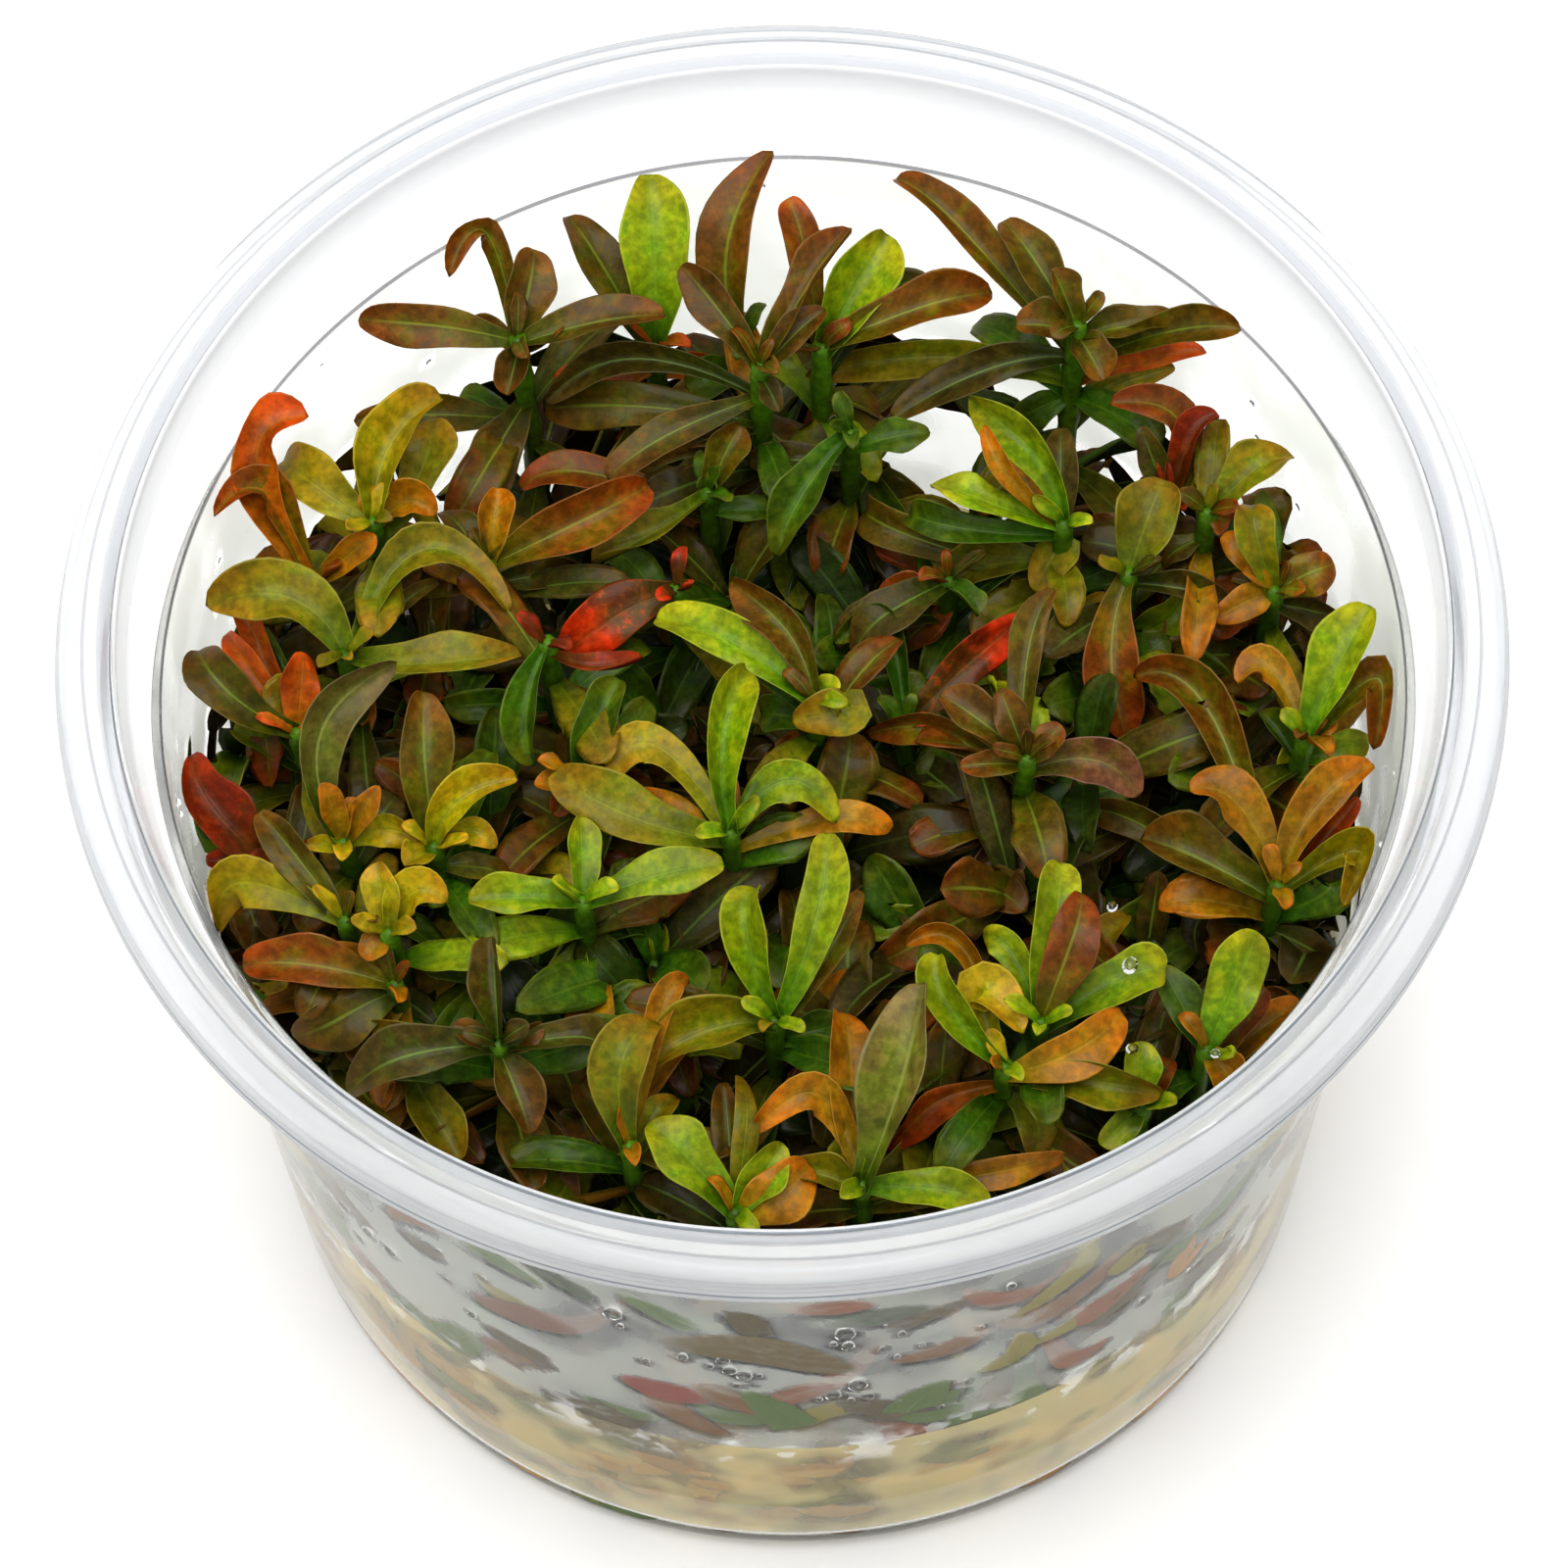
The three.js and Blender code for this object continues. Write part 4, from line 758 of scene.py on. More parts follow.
        at(925, 965, 2.2, "amber", bend=(985, 970), rise=4, below=1),
        at(1150, 1032, 3.5, "amber", bend=(1090, 1075), rise=2),
        at(1187, 1118, 3.4, "olive", bend=(1115, 1103), rise=0, below=1),
        at(922, 1177, 3.4, "orange", bend=(950, 1128), rise=-2, below=2),
        at(1062, 1182, 3.1, "olive", bend=(1055, 1140), rise=-2, below=3)),
    "front_right_upright": seenShoot(1062, 1042, 56,
        at(1113, 902, 3.8, "russet", bend=(1090, 970), rise=6),
        at(1087, 873, 3.3, "lime", bend=(1075, 950), rise=5, below=1),
        at(1193, 988, 3.6, "lime", bend=(1145, 1000), rise=2, below=1),
        at(1002, 953, 2.8, "lime", bend=(1035, 975), rise=3), at(1150, 925, 2.8, "olive", below=4)),
    "front_right_cup": seenShoot(1166, 1128, 51,
        at(1165, 1062, 2.8, "lime", rise=3), at(1122, 1168, 2.6, "lime", rise=0),
        at(1195, 1075, 2, "russet", rise=2, below=2)),
    "front_grey_paddle": seenShoot(880, 1207, 52,
        at(945, 1003, 5, "grey", bend=(918, 1110), rise=9),
        at(779, 1151, 2.7, "amber", bend=(838, 1118), rise=4),
        at(1013, 1226, 3.1, "lime", bend=(945, 1212), rise=0), at(808, 1191, 3, "olive"),
        at(872, 1021, 3.7, "amber", bend=(868, 1100), rise=6, below=1),
        at(1089, 1180, 2.7, "amber", bend=(1010, 1197), rise=0, below=1),
        at(951, 1167, 2.6, "olive", rise=0, below=3)),
    "front_mid": seenShoot(750, 1236, 52,
        at(663, 1142, 4.3, "lime", rise=4), at(801, 1167, 3.1, "lime", rise=3),
        at(829, 1187, 4.3, "amber", bend=(792, 1222), rise=2),
        at(585, 1181, 2.4, "yellow", bend=(645, 1178), rise=-3, below=5),
        at(739, 1104, 2.8, "bronze", rise=4, below=2), at(769, 1090, 1.8, "olive", rise=5)),
    "front_left_brown": seenShoot(642, 1168, 54,
        at(667, 1027, 3.8, "olive", bend=(633, 1092), rise=6),
        at(698, 1000, 1.8, "amber", bend=(672, 1040), rise=6, below=1),
        at(688, 1112, 2.4, "olive", rise=2, below=2), at(590, 1100, 2.8, "bronze", below=4)),
    "front_left_cross": seenShoot(508, 1064, 57,
        at(503, 956, 3.1, "dusk", rise=3), at(345, 1108, 3.7, "dusk", bend=(425, 1075), rise=0),
        at(637, 1064, 2.7, "dusk", bend=(580, 1058), rise=0), at(542, 1157, 3.3, "purple", rise=-1),
        at(461, 1046, 2.2, "purple", rise=2), at(554, 1046, 2.2, "purple", rise=2),
        at(585, 1234, 3.6, "purple", rise=-1, below=7), at(372, 1046, 2.5, "olive", rise=0, below=3)),
    "front_left_olive": seenShoot(418, 1094, 51,
        at(470, 1185, 3.6, "olive", rise=-1), at(402, 1144, 2.2, "amber", rise=-1),
        at(485, 1010, 2.4, "green", rise=2, below=2)),
    "left_front_rust": seenShoot(402, 1003, 53.5,
        at(238, 985, 3.8, "russet", bend=(320, 985)), at(300, 1068, 4, "bronze", rise=-1, below=1),
        at(262, 1030, 3, "amber", bend=(330, 1015), rise=-1, below=4),
        at(262, 940, 2.6, "bronze", bend=(325, 955), rise=-2, below=6)),
    "left_yellow_fold": seenShoot(352, 937, 56,
        at(222, 948, 4, "yellow", bend=(248, 900), rise=-1, pull=0.7),
        at(265, 828, 3.5, "bronze", rise=2, below=1)),
    "left_red": seenShoot(290, 885, 52,
        at(172, 767, 4.4, "red", bend=(222, 832), rise=4, look={"point": 1.0, "wavy": 0.15, "fold": 24}),
        at(200, 880, 1.8, "red")),
    "left_front_yellow": seenShoot(396, 950, 57,
        at(385, 879, 3.3, "yellow", rise=3), at(453, 914, 3.2, "yellow", bend=(420, 912), rise=3),
        at(368, 976, 2.1, "amber", rise=0)),
    "left_curl": seenShoot(350, 857, 57,
        at(330, 800, 2, "amber", rise=5), at(386, 803, 2.5, "amber", rise=4),
        at(426, 860, 2.5, "yellow", bend=(392, 846)),
        at(408, 681, 3.5, "grey", bend=(326, 752), rise=8, below=1), at(312, 862, 1.5, "yellow")),
    "left_mid_yellow": seenShoot(442, 862, 57,
        at(529, 793, 3.4, "yellow", bend=(468, 818), rise=3), at(412, 883, 2.4, "yellow"),
        at(504, 863, 2.3, "yellow", bend=(478, 848)),
        at(432, 706, 3.9, "bronze", bend=(434, 785), rise=6, below=2),
        at(530, 892, 2.2, "bronze", rise=-1, below=2), at(500, 760, 2.8, "green", rise=3, below=4)),
    "mid_hanging": seenShoot(558, 655, 59,
        at(543, 783, 3, "green", bend=(538, 722), rise=-4),
        at(655, 666, 2.4, "red", bend=(610, 680), rise=0, below=1)),
    "mid_speckled": seenShoot(690, 600, 54,
        at(578, 670, 4.4, "scarlet", bend=(630, 628), rise=-1)),
    "mid_low_green": seenShoot(588, 795, 55,
        at(632, 690, 3.2, "green", rise=4), at(545, 800, 1.8, "amber"),
        at(565, 832, 2, "russet", rise=0, below=1)),
    "left_spread": seenShoot(352, 668, 58,
        at(534, 660, 3.9, "olive", bend=(445, 677)), at(207, 612, 4.4, "olive", bend=(300, 612), rise=3),
        at(526, 612, 3.4, "olive", bend=(428, 562), rise=2, below=1),
        at(450, 592, 1.3, "dusk", bend=(395, 630), below=2)),
    "left_wall": seenShoot(302, 745, 55,
        at(197, 648, 3.9, "bronze", bend=(232, 705), rise=4), at(311, 665, 2.9, "orange", rise=4),
        at(222, 640, 2.4, "orange", rise=3, below=1), at(252, 648, 2.2, "red", rise=3, below=3),
        at(238, 745, 3.3, "lime", rise=0, below=5), at(266, 798, 2.5, "orange", rise=-1, below=7),
        at(226, 573, 2, "orange", rise=6, below=3)),
    "left_upper": seenShoot(318, 592, 57,
        at(314, 421, 3.7, "orange", bend=(262, 470), rise=8),
        at(217, 525, 3.6, "russet", bend=(273, 503), rise=6), at(384, 546, 2.1, "amber", rise=4)),
    "left_olive": seenShoot(380, 530, 60,
        at(452, 403, 4.2, "yellow", bend=(398, 455), rise=3),
        at(278, 461, 3.9, "yellow", bend=(322, 496), rise=0),
        at(441, 427, 3.6, "olive", bend=(430, 482), rise=3, below=2),
        at(440, 523, 2.9, "amber", bend=(415, 512), rise=2), at(373, 496, 1.6, "amber", rise=3)),
    "left_russet": seenShoot(498, 574, 56,
        at(673, 492, 4.3, "russet", bend=(590, 533), rise=3), at(508, 497, 2.9, "amber", rise=3),
        at(452, 512, 2.3, "bronze", rise=2, below=1), at(600, 587, 2.4, "bronze", rise=-1, below=2)),
    "back_mid_low": seenShoot(722, 500, 54,
        at(756, 433, 2.9, "bronze", rise=3), at(602, 573, 3.4, "olive", bend=(660, 548), rise=0),
        at(729, 483, 1.7, "green", rise=2), at(800, 522, 2.2, "green", rise=0, below=2),
        at(527, 495, 2.8, "russet", bend=(605, 483), rise=2, below=3)),
    "front_wall_left": wallShoot(-20.5, -31, 44,
        at(405, 1310, 3.2, "green", bend=(470, 1358), below=10, wall=True, reach=0.55),
        at(502, 1346, 2.8, "dusk", bend=(545, 1375), below=14, wall=True, pull=0.7),
        at(425, 1256, 2, "dusk", bend=(440, 1265), below=2, wall=True, pull=0.7)),
    "front_wall_mid_left": wallShoot(-11, -35.5, 46,
        at(487, 1316, 3, "rose", bend=(550, 1336), below=6, wall=True, pull=0.7),
        at(868, 1390, 3.9, "bronze", bend=(740, 1366), below=9, wall=True),
        at(585, 1425, 3.4, "dusk", bend=(635, 1437), below=20, wall=True, reach=0.55)),
    "front_wall_mid": wallShoot(-1.5, -36.8, 47,
        at(652, 1402, 2.8, "red", bend=(688, 1412), below=17, wall=True, pull=0.7),
        at(758, 1418, 3.2, "green", bend=(812, 1444), below=21, wall=True, pull=0.7),
        at(755, 1336, 2.2, "dusk", bend=(765, 1345), below=6, wall=True, pull=0.7)),
    "front_wall_mid_right": wallShoot(7.5, -36, 46,
        at(966, 1400, 3.5, "green", bend=(928, 1428), below=20, wall=True, pull=0.7),
        at(1026, 1431, 2.3, "green", bend=(985, 1440), below=21.5, wall=True, pull=0.7),
        at(1040, 1352, 2.3, "olive", bend=(1026, 1378), below=13, wall=True, pull=0.7)),
    "front_wall_right": wallShoot(15.5, -33, 46,
        at(1156, 1290, 3, "russet", bend=(1108, 1330), below=10, wall=True, pull=0.7),
        at(1123, 1358, 2, "russet", bend=(1090, 1378), below=14, wall=True, reach=0.85),
        at(1082, 1409, 2.3, "green", bend=(1045, 1417), below=18, wall=True, reach=0.85)),
    "front_wall_far_right": wallShoot(25.9, -26.4, 45,
        at(1168, 1254, 2.4, "olive", bend=(1146, 1279), below=4, wall=True, pull=0.7),
        at(1216, 1264, 2.4, "amber", bend=(1196, 1284), below=7, wall=True, pull=0.7),
        at(1228, 1318, 2.8, "green", bend=(1190, 1336), below=12, wall=True, reach=0.85),
        at(1180, 1365, 2.8, "dusk", bend=(1136, 1386), below=15, wall=True, pull=0.7, reach=0.85)),
}


# Small leaves that fill a shoot below its crown, in pairs that cross each other
filler = {
    "gap": 4.2 * mm,  # between pairs
    "first": 5.0 * mm,  # under the crown
    "backFirst": 1.8,  # that many times further down at the back, where the stems show
    "lastAbove": 1.0 * mm,  # above the gel
    "long": (7.0 * mm, 11.0 * mm),
    "wide": (2.7 * mm, 4.1 * mm),
    "wallRoom": 3.0 * mm,
    "byWall": 30 * mm,  # shoots further out than this have some leaves in the tones of the wall
    "wallShare": 0.45,
    "push": 3.5 * mm,  # how hard the leaves on the wall press against it
    "wallWide": 1.25,
    "branchRoom": 4.6 * mm,  # between the tops of side shoots
    "branchBack": 17 * mm,  # none grow further back than this
    "branchSpan": 42,  # places for them are tried this far from the middle, in millimetres
    "branchTries": 6000,
    "branchReach": 40 * mm,  # none grow further out than this
    "branchRadius": 0.5 * mm,
    "branchPairs": (0.96, 0.82, 0.64, 0.4),  # where its leaves stand, as shares of its length
    "sunk": (4, 18),  # heights of the old leaves in the gel, in millimetres
    "sunkCount": 6,
    "low": (8.5 * mm, 12.5 * mm),  # their length
    "lowFront": (19, 52),  # heights of the leaves along the front wall, and along the rest of it
    "lowRest": (19, 44),
    "frontCount": 3,
    "restCount": 2,
    "slant": 2.2,  # how much these leaves slope, against those in the gel
    "lowFoot": 26 * mm,  # only shoots that stand further out than this have such leaves
    "sideFrom": -14 * mm,  # shoots further back than this have more of them
    "sideCount": 5,
    "branchDrop": (7.0 * mm, 14.0 * mm),  # under the crown of the shoot it grows from
    "branchLong": (9.0 * mm, 13.0 * mm),
    "branchWide": (3.2 * mm, 4.6 * mm),
    # Side shoots and the leaves low on the wall partly take the two darkest tones, as painted shade
    "branchTones": ["deep", "green", "bronze", "deep", "deepBrown", "dusk", "green", "brown"],
    "tones": ["green", "green", "olive", "bronze", "green", "lime", "dusk", "brown", "olive", "amber"],
    "sunkTones": ["straw", "straw", "straw", "brown", "green", "amber", "olive", "straw"],
    "lowTones": ["olive", "green", "brown", "deep", "green", "dusk", "russet", "olive"],
    "shared": ["lime", "green", "yellow", "olive", "russet", "brown", "bronze", "purple", "dusk", "amber",
               "grey"],  # tones that a side shoot takes over from its parent
    "wallTones": ["green", "olive", "green", "dusk", "bronze", "amber", "brown"],
    "look": {
        "fold": (4, 22), "roll": (-22, 22), "curl": (-0.05, 0.2), "peak": (0.56, 0.7), "cup": (-0.2, 0.4),
        "twist": (-35, 35), "ripple": (0.05, 0.2), "point": (1.4, 2.1),
    },
}


def drawLook(spans, dice):
    return {name: dice.uniform(*span) for name, span in spans.items()}


def addPair(gathered, base, turn, long, wide, climb, tones, dice, rows=None, columns=None):
    for half in (0, math.pi):
        bearing = turn + half + dice.uniform(-0.25, 0.25)
        reach = long * dice.uniform(0.85, 1.1)
        lift = climb + dice.uniform(-0.12, 0.12)
        out = Vector((math.cos(bearing), math.sin(bearing), 0))
        tip = base + out * reach * math.cos(lift) + Vector((0, 0, reach * math.sin(lift)))
        middle = (base + tip) / 2 + Vector((0, 0, reach * 0.1))
        keepInside(tip, filler["wallRoom"])
        keepInside(middle, filler["wallRoom"])
        if (tip - base).length < 2.5 * mm:
            continue
        look = drawLook(filler["look"], dice)
        ownWide = wide * dice.uniform(0.85, 1.1)
        tone = dice.choice(tones)
        facing = (0, -0.1, 1)
        addLeaf(gathered, (base, middle, tip), ownWide, facing, tone, dice.random(), look, rows, columns)


def fillStem(gathered, route, dice, lowest):
    foot, _, crown = route
    height = crown.z - foot.z
    down = filler["first"] * (1 if crown.y < filler["branchBack"] else filler["backFirst"])
    turn = dice.uniform(0, math.pi)
    byWall = math.hypot(crown.x, crown.y) > filler["byWall"]
    while crown.z - down > lowest:
        base = onStem(route, 1 - down / height)
        depth = down / height
        tones = filler["wallTones"] if byWall and dice.random() < filler["wallShare"] else filler["tones"]
        long = dice.uniform(*filler["long"])
        wide = dice.uniform(*filler["wide"])
        addPair(gathered, base, turn, long, wide, 0.35 - 0.75 * depth, tones, dice, 9, 4)
        down += filler["gap"] * dice.uniform(0.85, 1.15)
        turn += math.pi / 2 + dice.uniform(-0.2, 0.2)


# An old leaf at a stem's foot lies along the wall
def addWallLeaf(gathered, route, dice, heights, slant, tones):
    foot, _, crown = route
    up = dice.uniform(*heights) * mm
    share = (up - foot.z) / (crown.z - foot.z)
    base = onStem(route, min(0.8, max(0, share - 0.05) + dice.uniform(0.02, 0.15)))
    aim = math.atan2(foot.y, foot.x) + dice.uniform(-0.32, 0.32)
    radius = innerRadius(up) + 1 * mm
    middle = Vector((math.cos(aim) * radius, math.sin(aim) * radius, up))
    climb = dice.uniform(-2.5 * mm, 2.5 * mm) * slant
    turn = aim + math.copysign(dice.uniform(*filler["low"]) * 0.5 / radius, dice.uniform(-1, 1))
    tip = Vector((math.cos(turn) * radius, math.sin(turn) * radius, up + climb))
    look = {"fold": 4, "ripple": 0.1, "peak": 0.5}
    wide = dice.uniform(*filler["wide"])
    facing = (-middle.x, -middle.y, 0)
    addLeaf(gathered, (base, middle, tip), wide, facing, dice.choice(tones), dice.random(), look, 12, 4)


def addLowLeaves(gathered, name, route, dice):
    foot = route[0]
    if foot.length < filler["lowFoot"]:
        return
    for count in range(filler["sunkCount"]):
        addWallLeaf(gathered, route, dice, filler["sunk"], 1, filler["sunkTones"])
    front = foot.y < 0
    for count in range(filler["frontCount" if front else "restCount"]):
        heights = filler["lowFront" if front else "lowRest"]
        addWallLeaf(gathered, route, dice, heights, filler["slant"], filler["lowTones"])
    if foot.y > filler["sideFrom"]:
        dice = random.Random(name + " wall")
        for count in range(filler["sideCount"]):
            addWallLeaf(gathered, route, dice, filler["lowRest"], filler["slant"], filler["lowTones"])


# The bud at a shoot's top: crossed pairs of small upright leaves
bud = {
    "pairs": ((3.4 * mm, 0.75), (2.4 * mm, 1.0), (1.5 * mm, 1.25)),  # length, and how steeply they stand
    "wide": 0.42,  # as a share of the length
    "sunk": 0.3 * mm,
}


def addBud(gathered, crown, tones, dice):
    turn = dice.uniform(0, math.pi)
    base = crown - Vector((0, 0, bud["sunk"]))
    for long, climb in bud["pairs"]:
        addPair(gathered, base, turn, long, long * bud["wide"], climb, tones, dice, 8, 4)
        turn += math.pi / 2


# Side shoots stand where there is room between the crowns, each on the nearest shoot
def sideShoots(crowns):
    dice = random.Random("side shoots")
    tops = [(crown.x, crown.y) for crown in crowns.values()]
    found = {name: [] for name in crowns}
    span = filler["branchSpan"]
    for attempt in range(filler["branchTries"]):
        place = (dice.uniform(-span, span) * mm, dice.uniform(-span * mm, filler["branchBack"]))
        if math.hypot(*place) > filler["branchReach"]:
            continue
        if min(math.dist(place, top) for top in tops) < filler["branchRoom"]:
            continue
        tops.append(place)
        nearest = min(crowns, key=lambda name: math.dist(place, crowns[name].xy))
        up = crowns[nearest].z - dice.uniform(*filler["branchDrop"])
        found[nearest].append(keepInside(Vector((*place, up)), 2.5 * mm))
    return found


def addSideShoot(gathered, parent, top, tones, dice):
    foot, _, crown = parent
    apart = math.dist(top.xy, crown.xy)
    depth = max(6 * mm, crown.z - top.z + 3 * mm) + apart * 0.9
    base = onStem(parent, max(0.1, 1 - depth / (crown.z - foot.z)))
    control = (base + top) / 2
    control.xy = base.xy.lerp(top.xy, 0.8)
    route = (base, control, top)
    addStem(gathered, route, filler["branchRadius"], dice.random())
    addBud(gathered, top, tones, dice)
    turn = dice.uniform(0, math.pi)
    climb = 0.7
    for share in filler["branchPairs"]:
        long = dice.uniform(*filler["branchLong"]) * (0.75 if share > 0.9 else 1)
        wide = dice.uniform(*filler["branchWide"])
        addPair(gathered, onStem(route, share), turn, long, wide, climb, tones, dice, 10, 4)
        turn += math.pi / 2 + dice.uniform(-0.2, 0.2)
        climb -= 0.28


# A tip that would pass the far wall stands higher instead, so that it is still seen in the same place
def seenInside(pixel, up, room):
    point = seen(pixel, up)
    while point.y > 0 and point.z < cup["height"] - 2 * mm and point.xy.length > innerRadius(point.z) - room:
        point = seen(pixel, point.z + 0.2 * mm)
    return keepInside(point, room)


def leafRoute(base, row):
    if row.get("wall"):
        tip = seenOnWall(row["tip"], 0.4 * mm)
        middle = seenOnWall(row["bend"], 0.4 * mm)
        middle.xy *= 1 + filler["push"] / middle.xy.length
        tip.xy *= 1 + 1 * mm / tip.xy.length
        return base, middle, tip
    rise = row.get("rise", 1) * mm
    room = (0.8 + row.get("pull", 0) * 0.4) * mm
    tip = seenInside(row["tip"], base.z + rise, room)
    arch = 0.07 * (tip - base).length
    middle = (base + tip) / 2
    middle.z += arch
    if "bend" in row:
        middle = seenInside(row["bend"], base.z + (tip.z - base.z) * 0.6 + arch, room)
    reach = row.get("reach", 1)
    if reach < 1:
        control = 2 * middle - base / 2 - tip / 2
        tip = base * (1 - reach) ** 2 + control * (2 * reach * (1 - reach)) + tip * reach ** 2
        control = base.lerp(control, reach)
        middle = (base + 2 * control + tip) / 4
    return base, middle, tip


def crownOf(row):
    if "stand" in row:
        return Vector((*[value * mm for value in row["stand"]], row["up"] * mm))
    return seen(row["crown"], row["up"] * mm)


def makeShoot(name, row):
    dice = random.Random(name)
    crown = crowns[name]
    route = stemRoute(crown)
    height = crown.z - route[0].z
    gathered = Gathered()
    addStem(gathered, route, stem["radius"], dice.random())
    for order, each in enumerate(row["leaves"]):
        depth = (each.get("below", 0.4) + order * 0.3) * mm
        base = onStem(route, 1 - depth / height)
        base, middle, tip = leafRoute(base, each)
        facing = (0, -0.25, 0.97)
        if each.get("wall"):
            facing = (-middle.x, -middle.y, 0)
        look = drawLook(leaf["look"], dice)
        hooked = dice.random() < leaf["hooked"] and crown.y < filler["branchBack"]
        look["curl"] = dice.uniform(*leaf["hook" if hooked else "curl"])
        look.update(drawLook(leaf["outline"], dice))
        look.update(each.get("look", {}))
        wide = each["wide"] * leaf["widen"] * mm
        if each.get("wall"):
            wide *= filler["wallWide"]
            look.update(fold=2, cup=0, ripple=0.04)
        addLeaf(gathered, (base, middle, tip), wide, facing, each["tone"], dice.random(), look)
    if "stand" not in row:
        addBud(gathered, crown, [each["tone"] for each in row["leaves"][:3]], dice)
    fillStem(gathered, route, dice, gelTop + filler["lastAbove"])
    addLowLeaves(gathered, name, route, dice)
    for top in branches[name]:
        own = [each["tone"] for each in row["leaves"] if each["tone"] in filler["shared"]]
        addSideShoot(gathered, route, top, own + filler["branchTones"], dice)
    return gathered


crowns = {name: crownOf(row) for name, row in shootTable.items()}
branches = sideShoots(crowns)
print("side shoots:", sum(len(tops) for tops in branches.values()))
for name, row in shootTable.items():
    addPiece("plant_" + name, makeShoot(name, row), leafMaterials, "shoot_" + name)
print("plants made:", len(shootTable))


# Drops of condensed water on the inside of the wall, and a few on leaves
water = {
    "sink": 0.12,  # how much of a drop's height goes into what it sits on
    "flat": 0.55,  # its height as a share of its width
    "onWall": [  # places in the picture in pixels, with the radius in millimetres
        (626, 1337, 0.62), (660, 1385, 0.3), (697, 1381, 0.36), (738, 1385, 0.42), (745, 1395, 0.45),
        (760, 1400, 0.5), (862, 1358, 0.66), (865, 1370, 0.4), (850, 1368, 0.26), (875, 1410, 0.62),
        (850, 1420, 0.5), (885, 1422, 0.42), (868, 1425, 0.24), (836, 1424, 0.22), (920, 1357, 0.26),
        (940, 1368, 0.2), (960, 1432, 0.24), (1035, 1383, 0.34), (1135, 1318, 0.3), (1145, 1326, 0.26),
        (1138, 1331, 0.34), (1155, 1300, 0.24), (1173, 1288, 0.26), (1163, 1323, 0.28), (325, 1215, 0.4),
        (357, 1227, 0.4), (380, 1253, 0.44), (372, 1258, 0.3), (402, 1272, 0.5), (450, 1272, 0.26),
        (310, 1180, 0.3), (634, 1349, 0.24), (775, 1400, 0.22), (752, 1410, 0.26), (900, 1372, 0.2),
        (915, 1380, 0.2), (1000, 1350, 0.18), (985, 1405, 0.2), (725, 1390, 0.24), (1218, 1285, 0.3),
    ],
    "onLeaf": [  # pixels, the height and the radius in millimetres
        (1153, 985, 57.3, 0.6), (1155, 1070, 54.6, 0.42), (1240, 1075, 54.3, 0.36), (1135, 925, 56, 0.4),
    ],
    "size": 1.25,  # of the drops on the wall, against what the list gives
    "seeded": 90,  # drops on the wall that are not read off the picture
    "seededRadius": (0.1, 0.42),
    "around": 12,
    "rows": 5,
}


def addDrop(gathered, centre, outward, radius, dice):
    normal = Vector(outward).normalized()
    first = normal.orthogonal().normalized()
    second = normal.cross(first)
    around, rows = water["around"], water["rows"]
    points = []
    wobble = dice.uniform(0, math.pi)
    for row in range(rows):
        lift = math.pi / 2 * row / rows
        for step in range(around):
            turn = 2 * math.pi * step / around
            reach = radius * math.cos(lift) * (1 + 0.08 * math.sin(2 * turn + wobble))
            point = centre + (first * math.cos(turn) + second * math.sin(turn)) * reach
            points.append(point + normal * (radius * 2 * water["flat"] * (math.sin(lift) - water["sink"])))
    points.append(centre + normal * (radius * 2 * water["flat"] * (1 - water["sink"])))
    gathered.add(np.array(points), closedFaces(rows, around), 0)


def makeDrops():
    dice = random.Random("drops")
    gathered = Gathered()
    for x, y, radius in water["onWall"]:
        centre = seenOnWall((x, y), 0.02 * mm)
        addDrop(gathered, centre, (-centre.x, -centre.y, 0), radius * water["size"] * mm, dice)
    for x, y, up, radius in water["onLeaf"]:
        addDrop(gathered, seen((x, y), up * mm), (0, -0.25, 1), radius * mm, dice)
    for count in range(water["seeded"]):
        up = dice.uniform(gelTop + 5 * mm, ledgeUp - 2 * mm)
        turn = dice.uniform(0, 2 * math.pi)
        radius = innerRadius(up) - 0.02 * mm
        centre = Vector((math.cos(turn) * radius, math.sin(turn) * radius, up))
        addDrop(gathered, centre, (-centre.x, -centre.y, 0), dice.uniform(*water["seededRadius"]) * mm, dice)
    return gathered


def waterMaterial():
    return startMaterial("water", **{
        "Base Color": (1, 1, 1, 1), "Transmission Weight": 1.0, "IOR": 1.33, "Roughness": 0.0,
    })[0]


addPiece("condensation", makeDrops(), [waterMaterial()])
print("drops made")


# The outline turned about the upright axis. Each corner is (radius, up, rounding).
def rounded(outline, steps=6):
    points = []
    for place, (radius, up, rounding) in enumerate(outline):
        corner = Vector((radius, up))
        if rounding == 0 or place in (0, len(outline) - 1):
            points.append(corner)
            continue
        before = Vector(outline[place - 1][:2]) - corner
        after = Vector(outline[place + 1][:2]) - corner
        start = corner + before.normalized() * min(rounding, before.length * 0.45)
        end = corner + after.normalized() * min(rounding, after.length * 0.45)
        for step in range(steps + 1):
            share = step / steps
            points.append(start * (1 - share) ** 2 + corner * (2 * share * (1 - share)) + end * share ** 2)
    return points


def turned(points, sides):
    gathered = Gathered()
    turns = np.arange(sides) * 2 * math.pi / sides
    rings = []
    for point in points[1:-1]:
        rings.append(np.stack([point.x * np.cos(turns), point.x * np.sin(turns), np.full(sides, point.y)], 1))
    rows = len(rings)
    ends = np.array([[0, 0, points[0].y], [0, 0, points[-1].y]])
    faces = ringFaces(rows, sides)
    low, high = rows * sides, rows * sides + 1
    for corner in range(sides):
        following = (corner + 1) % sides
        faces.append((following, corner, low))
        faces.append(((rows - 1) * sides + corner, (rows - 1) * sides + following, high))
    gathered.add(np.concatenate([*rings, ends]), faces, 0)
    return gathered


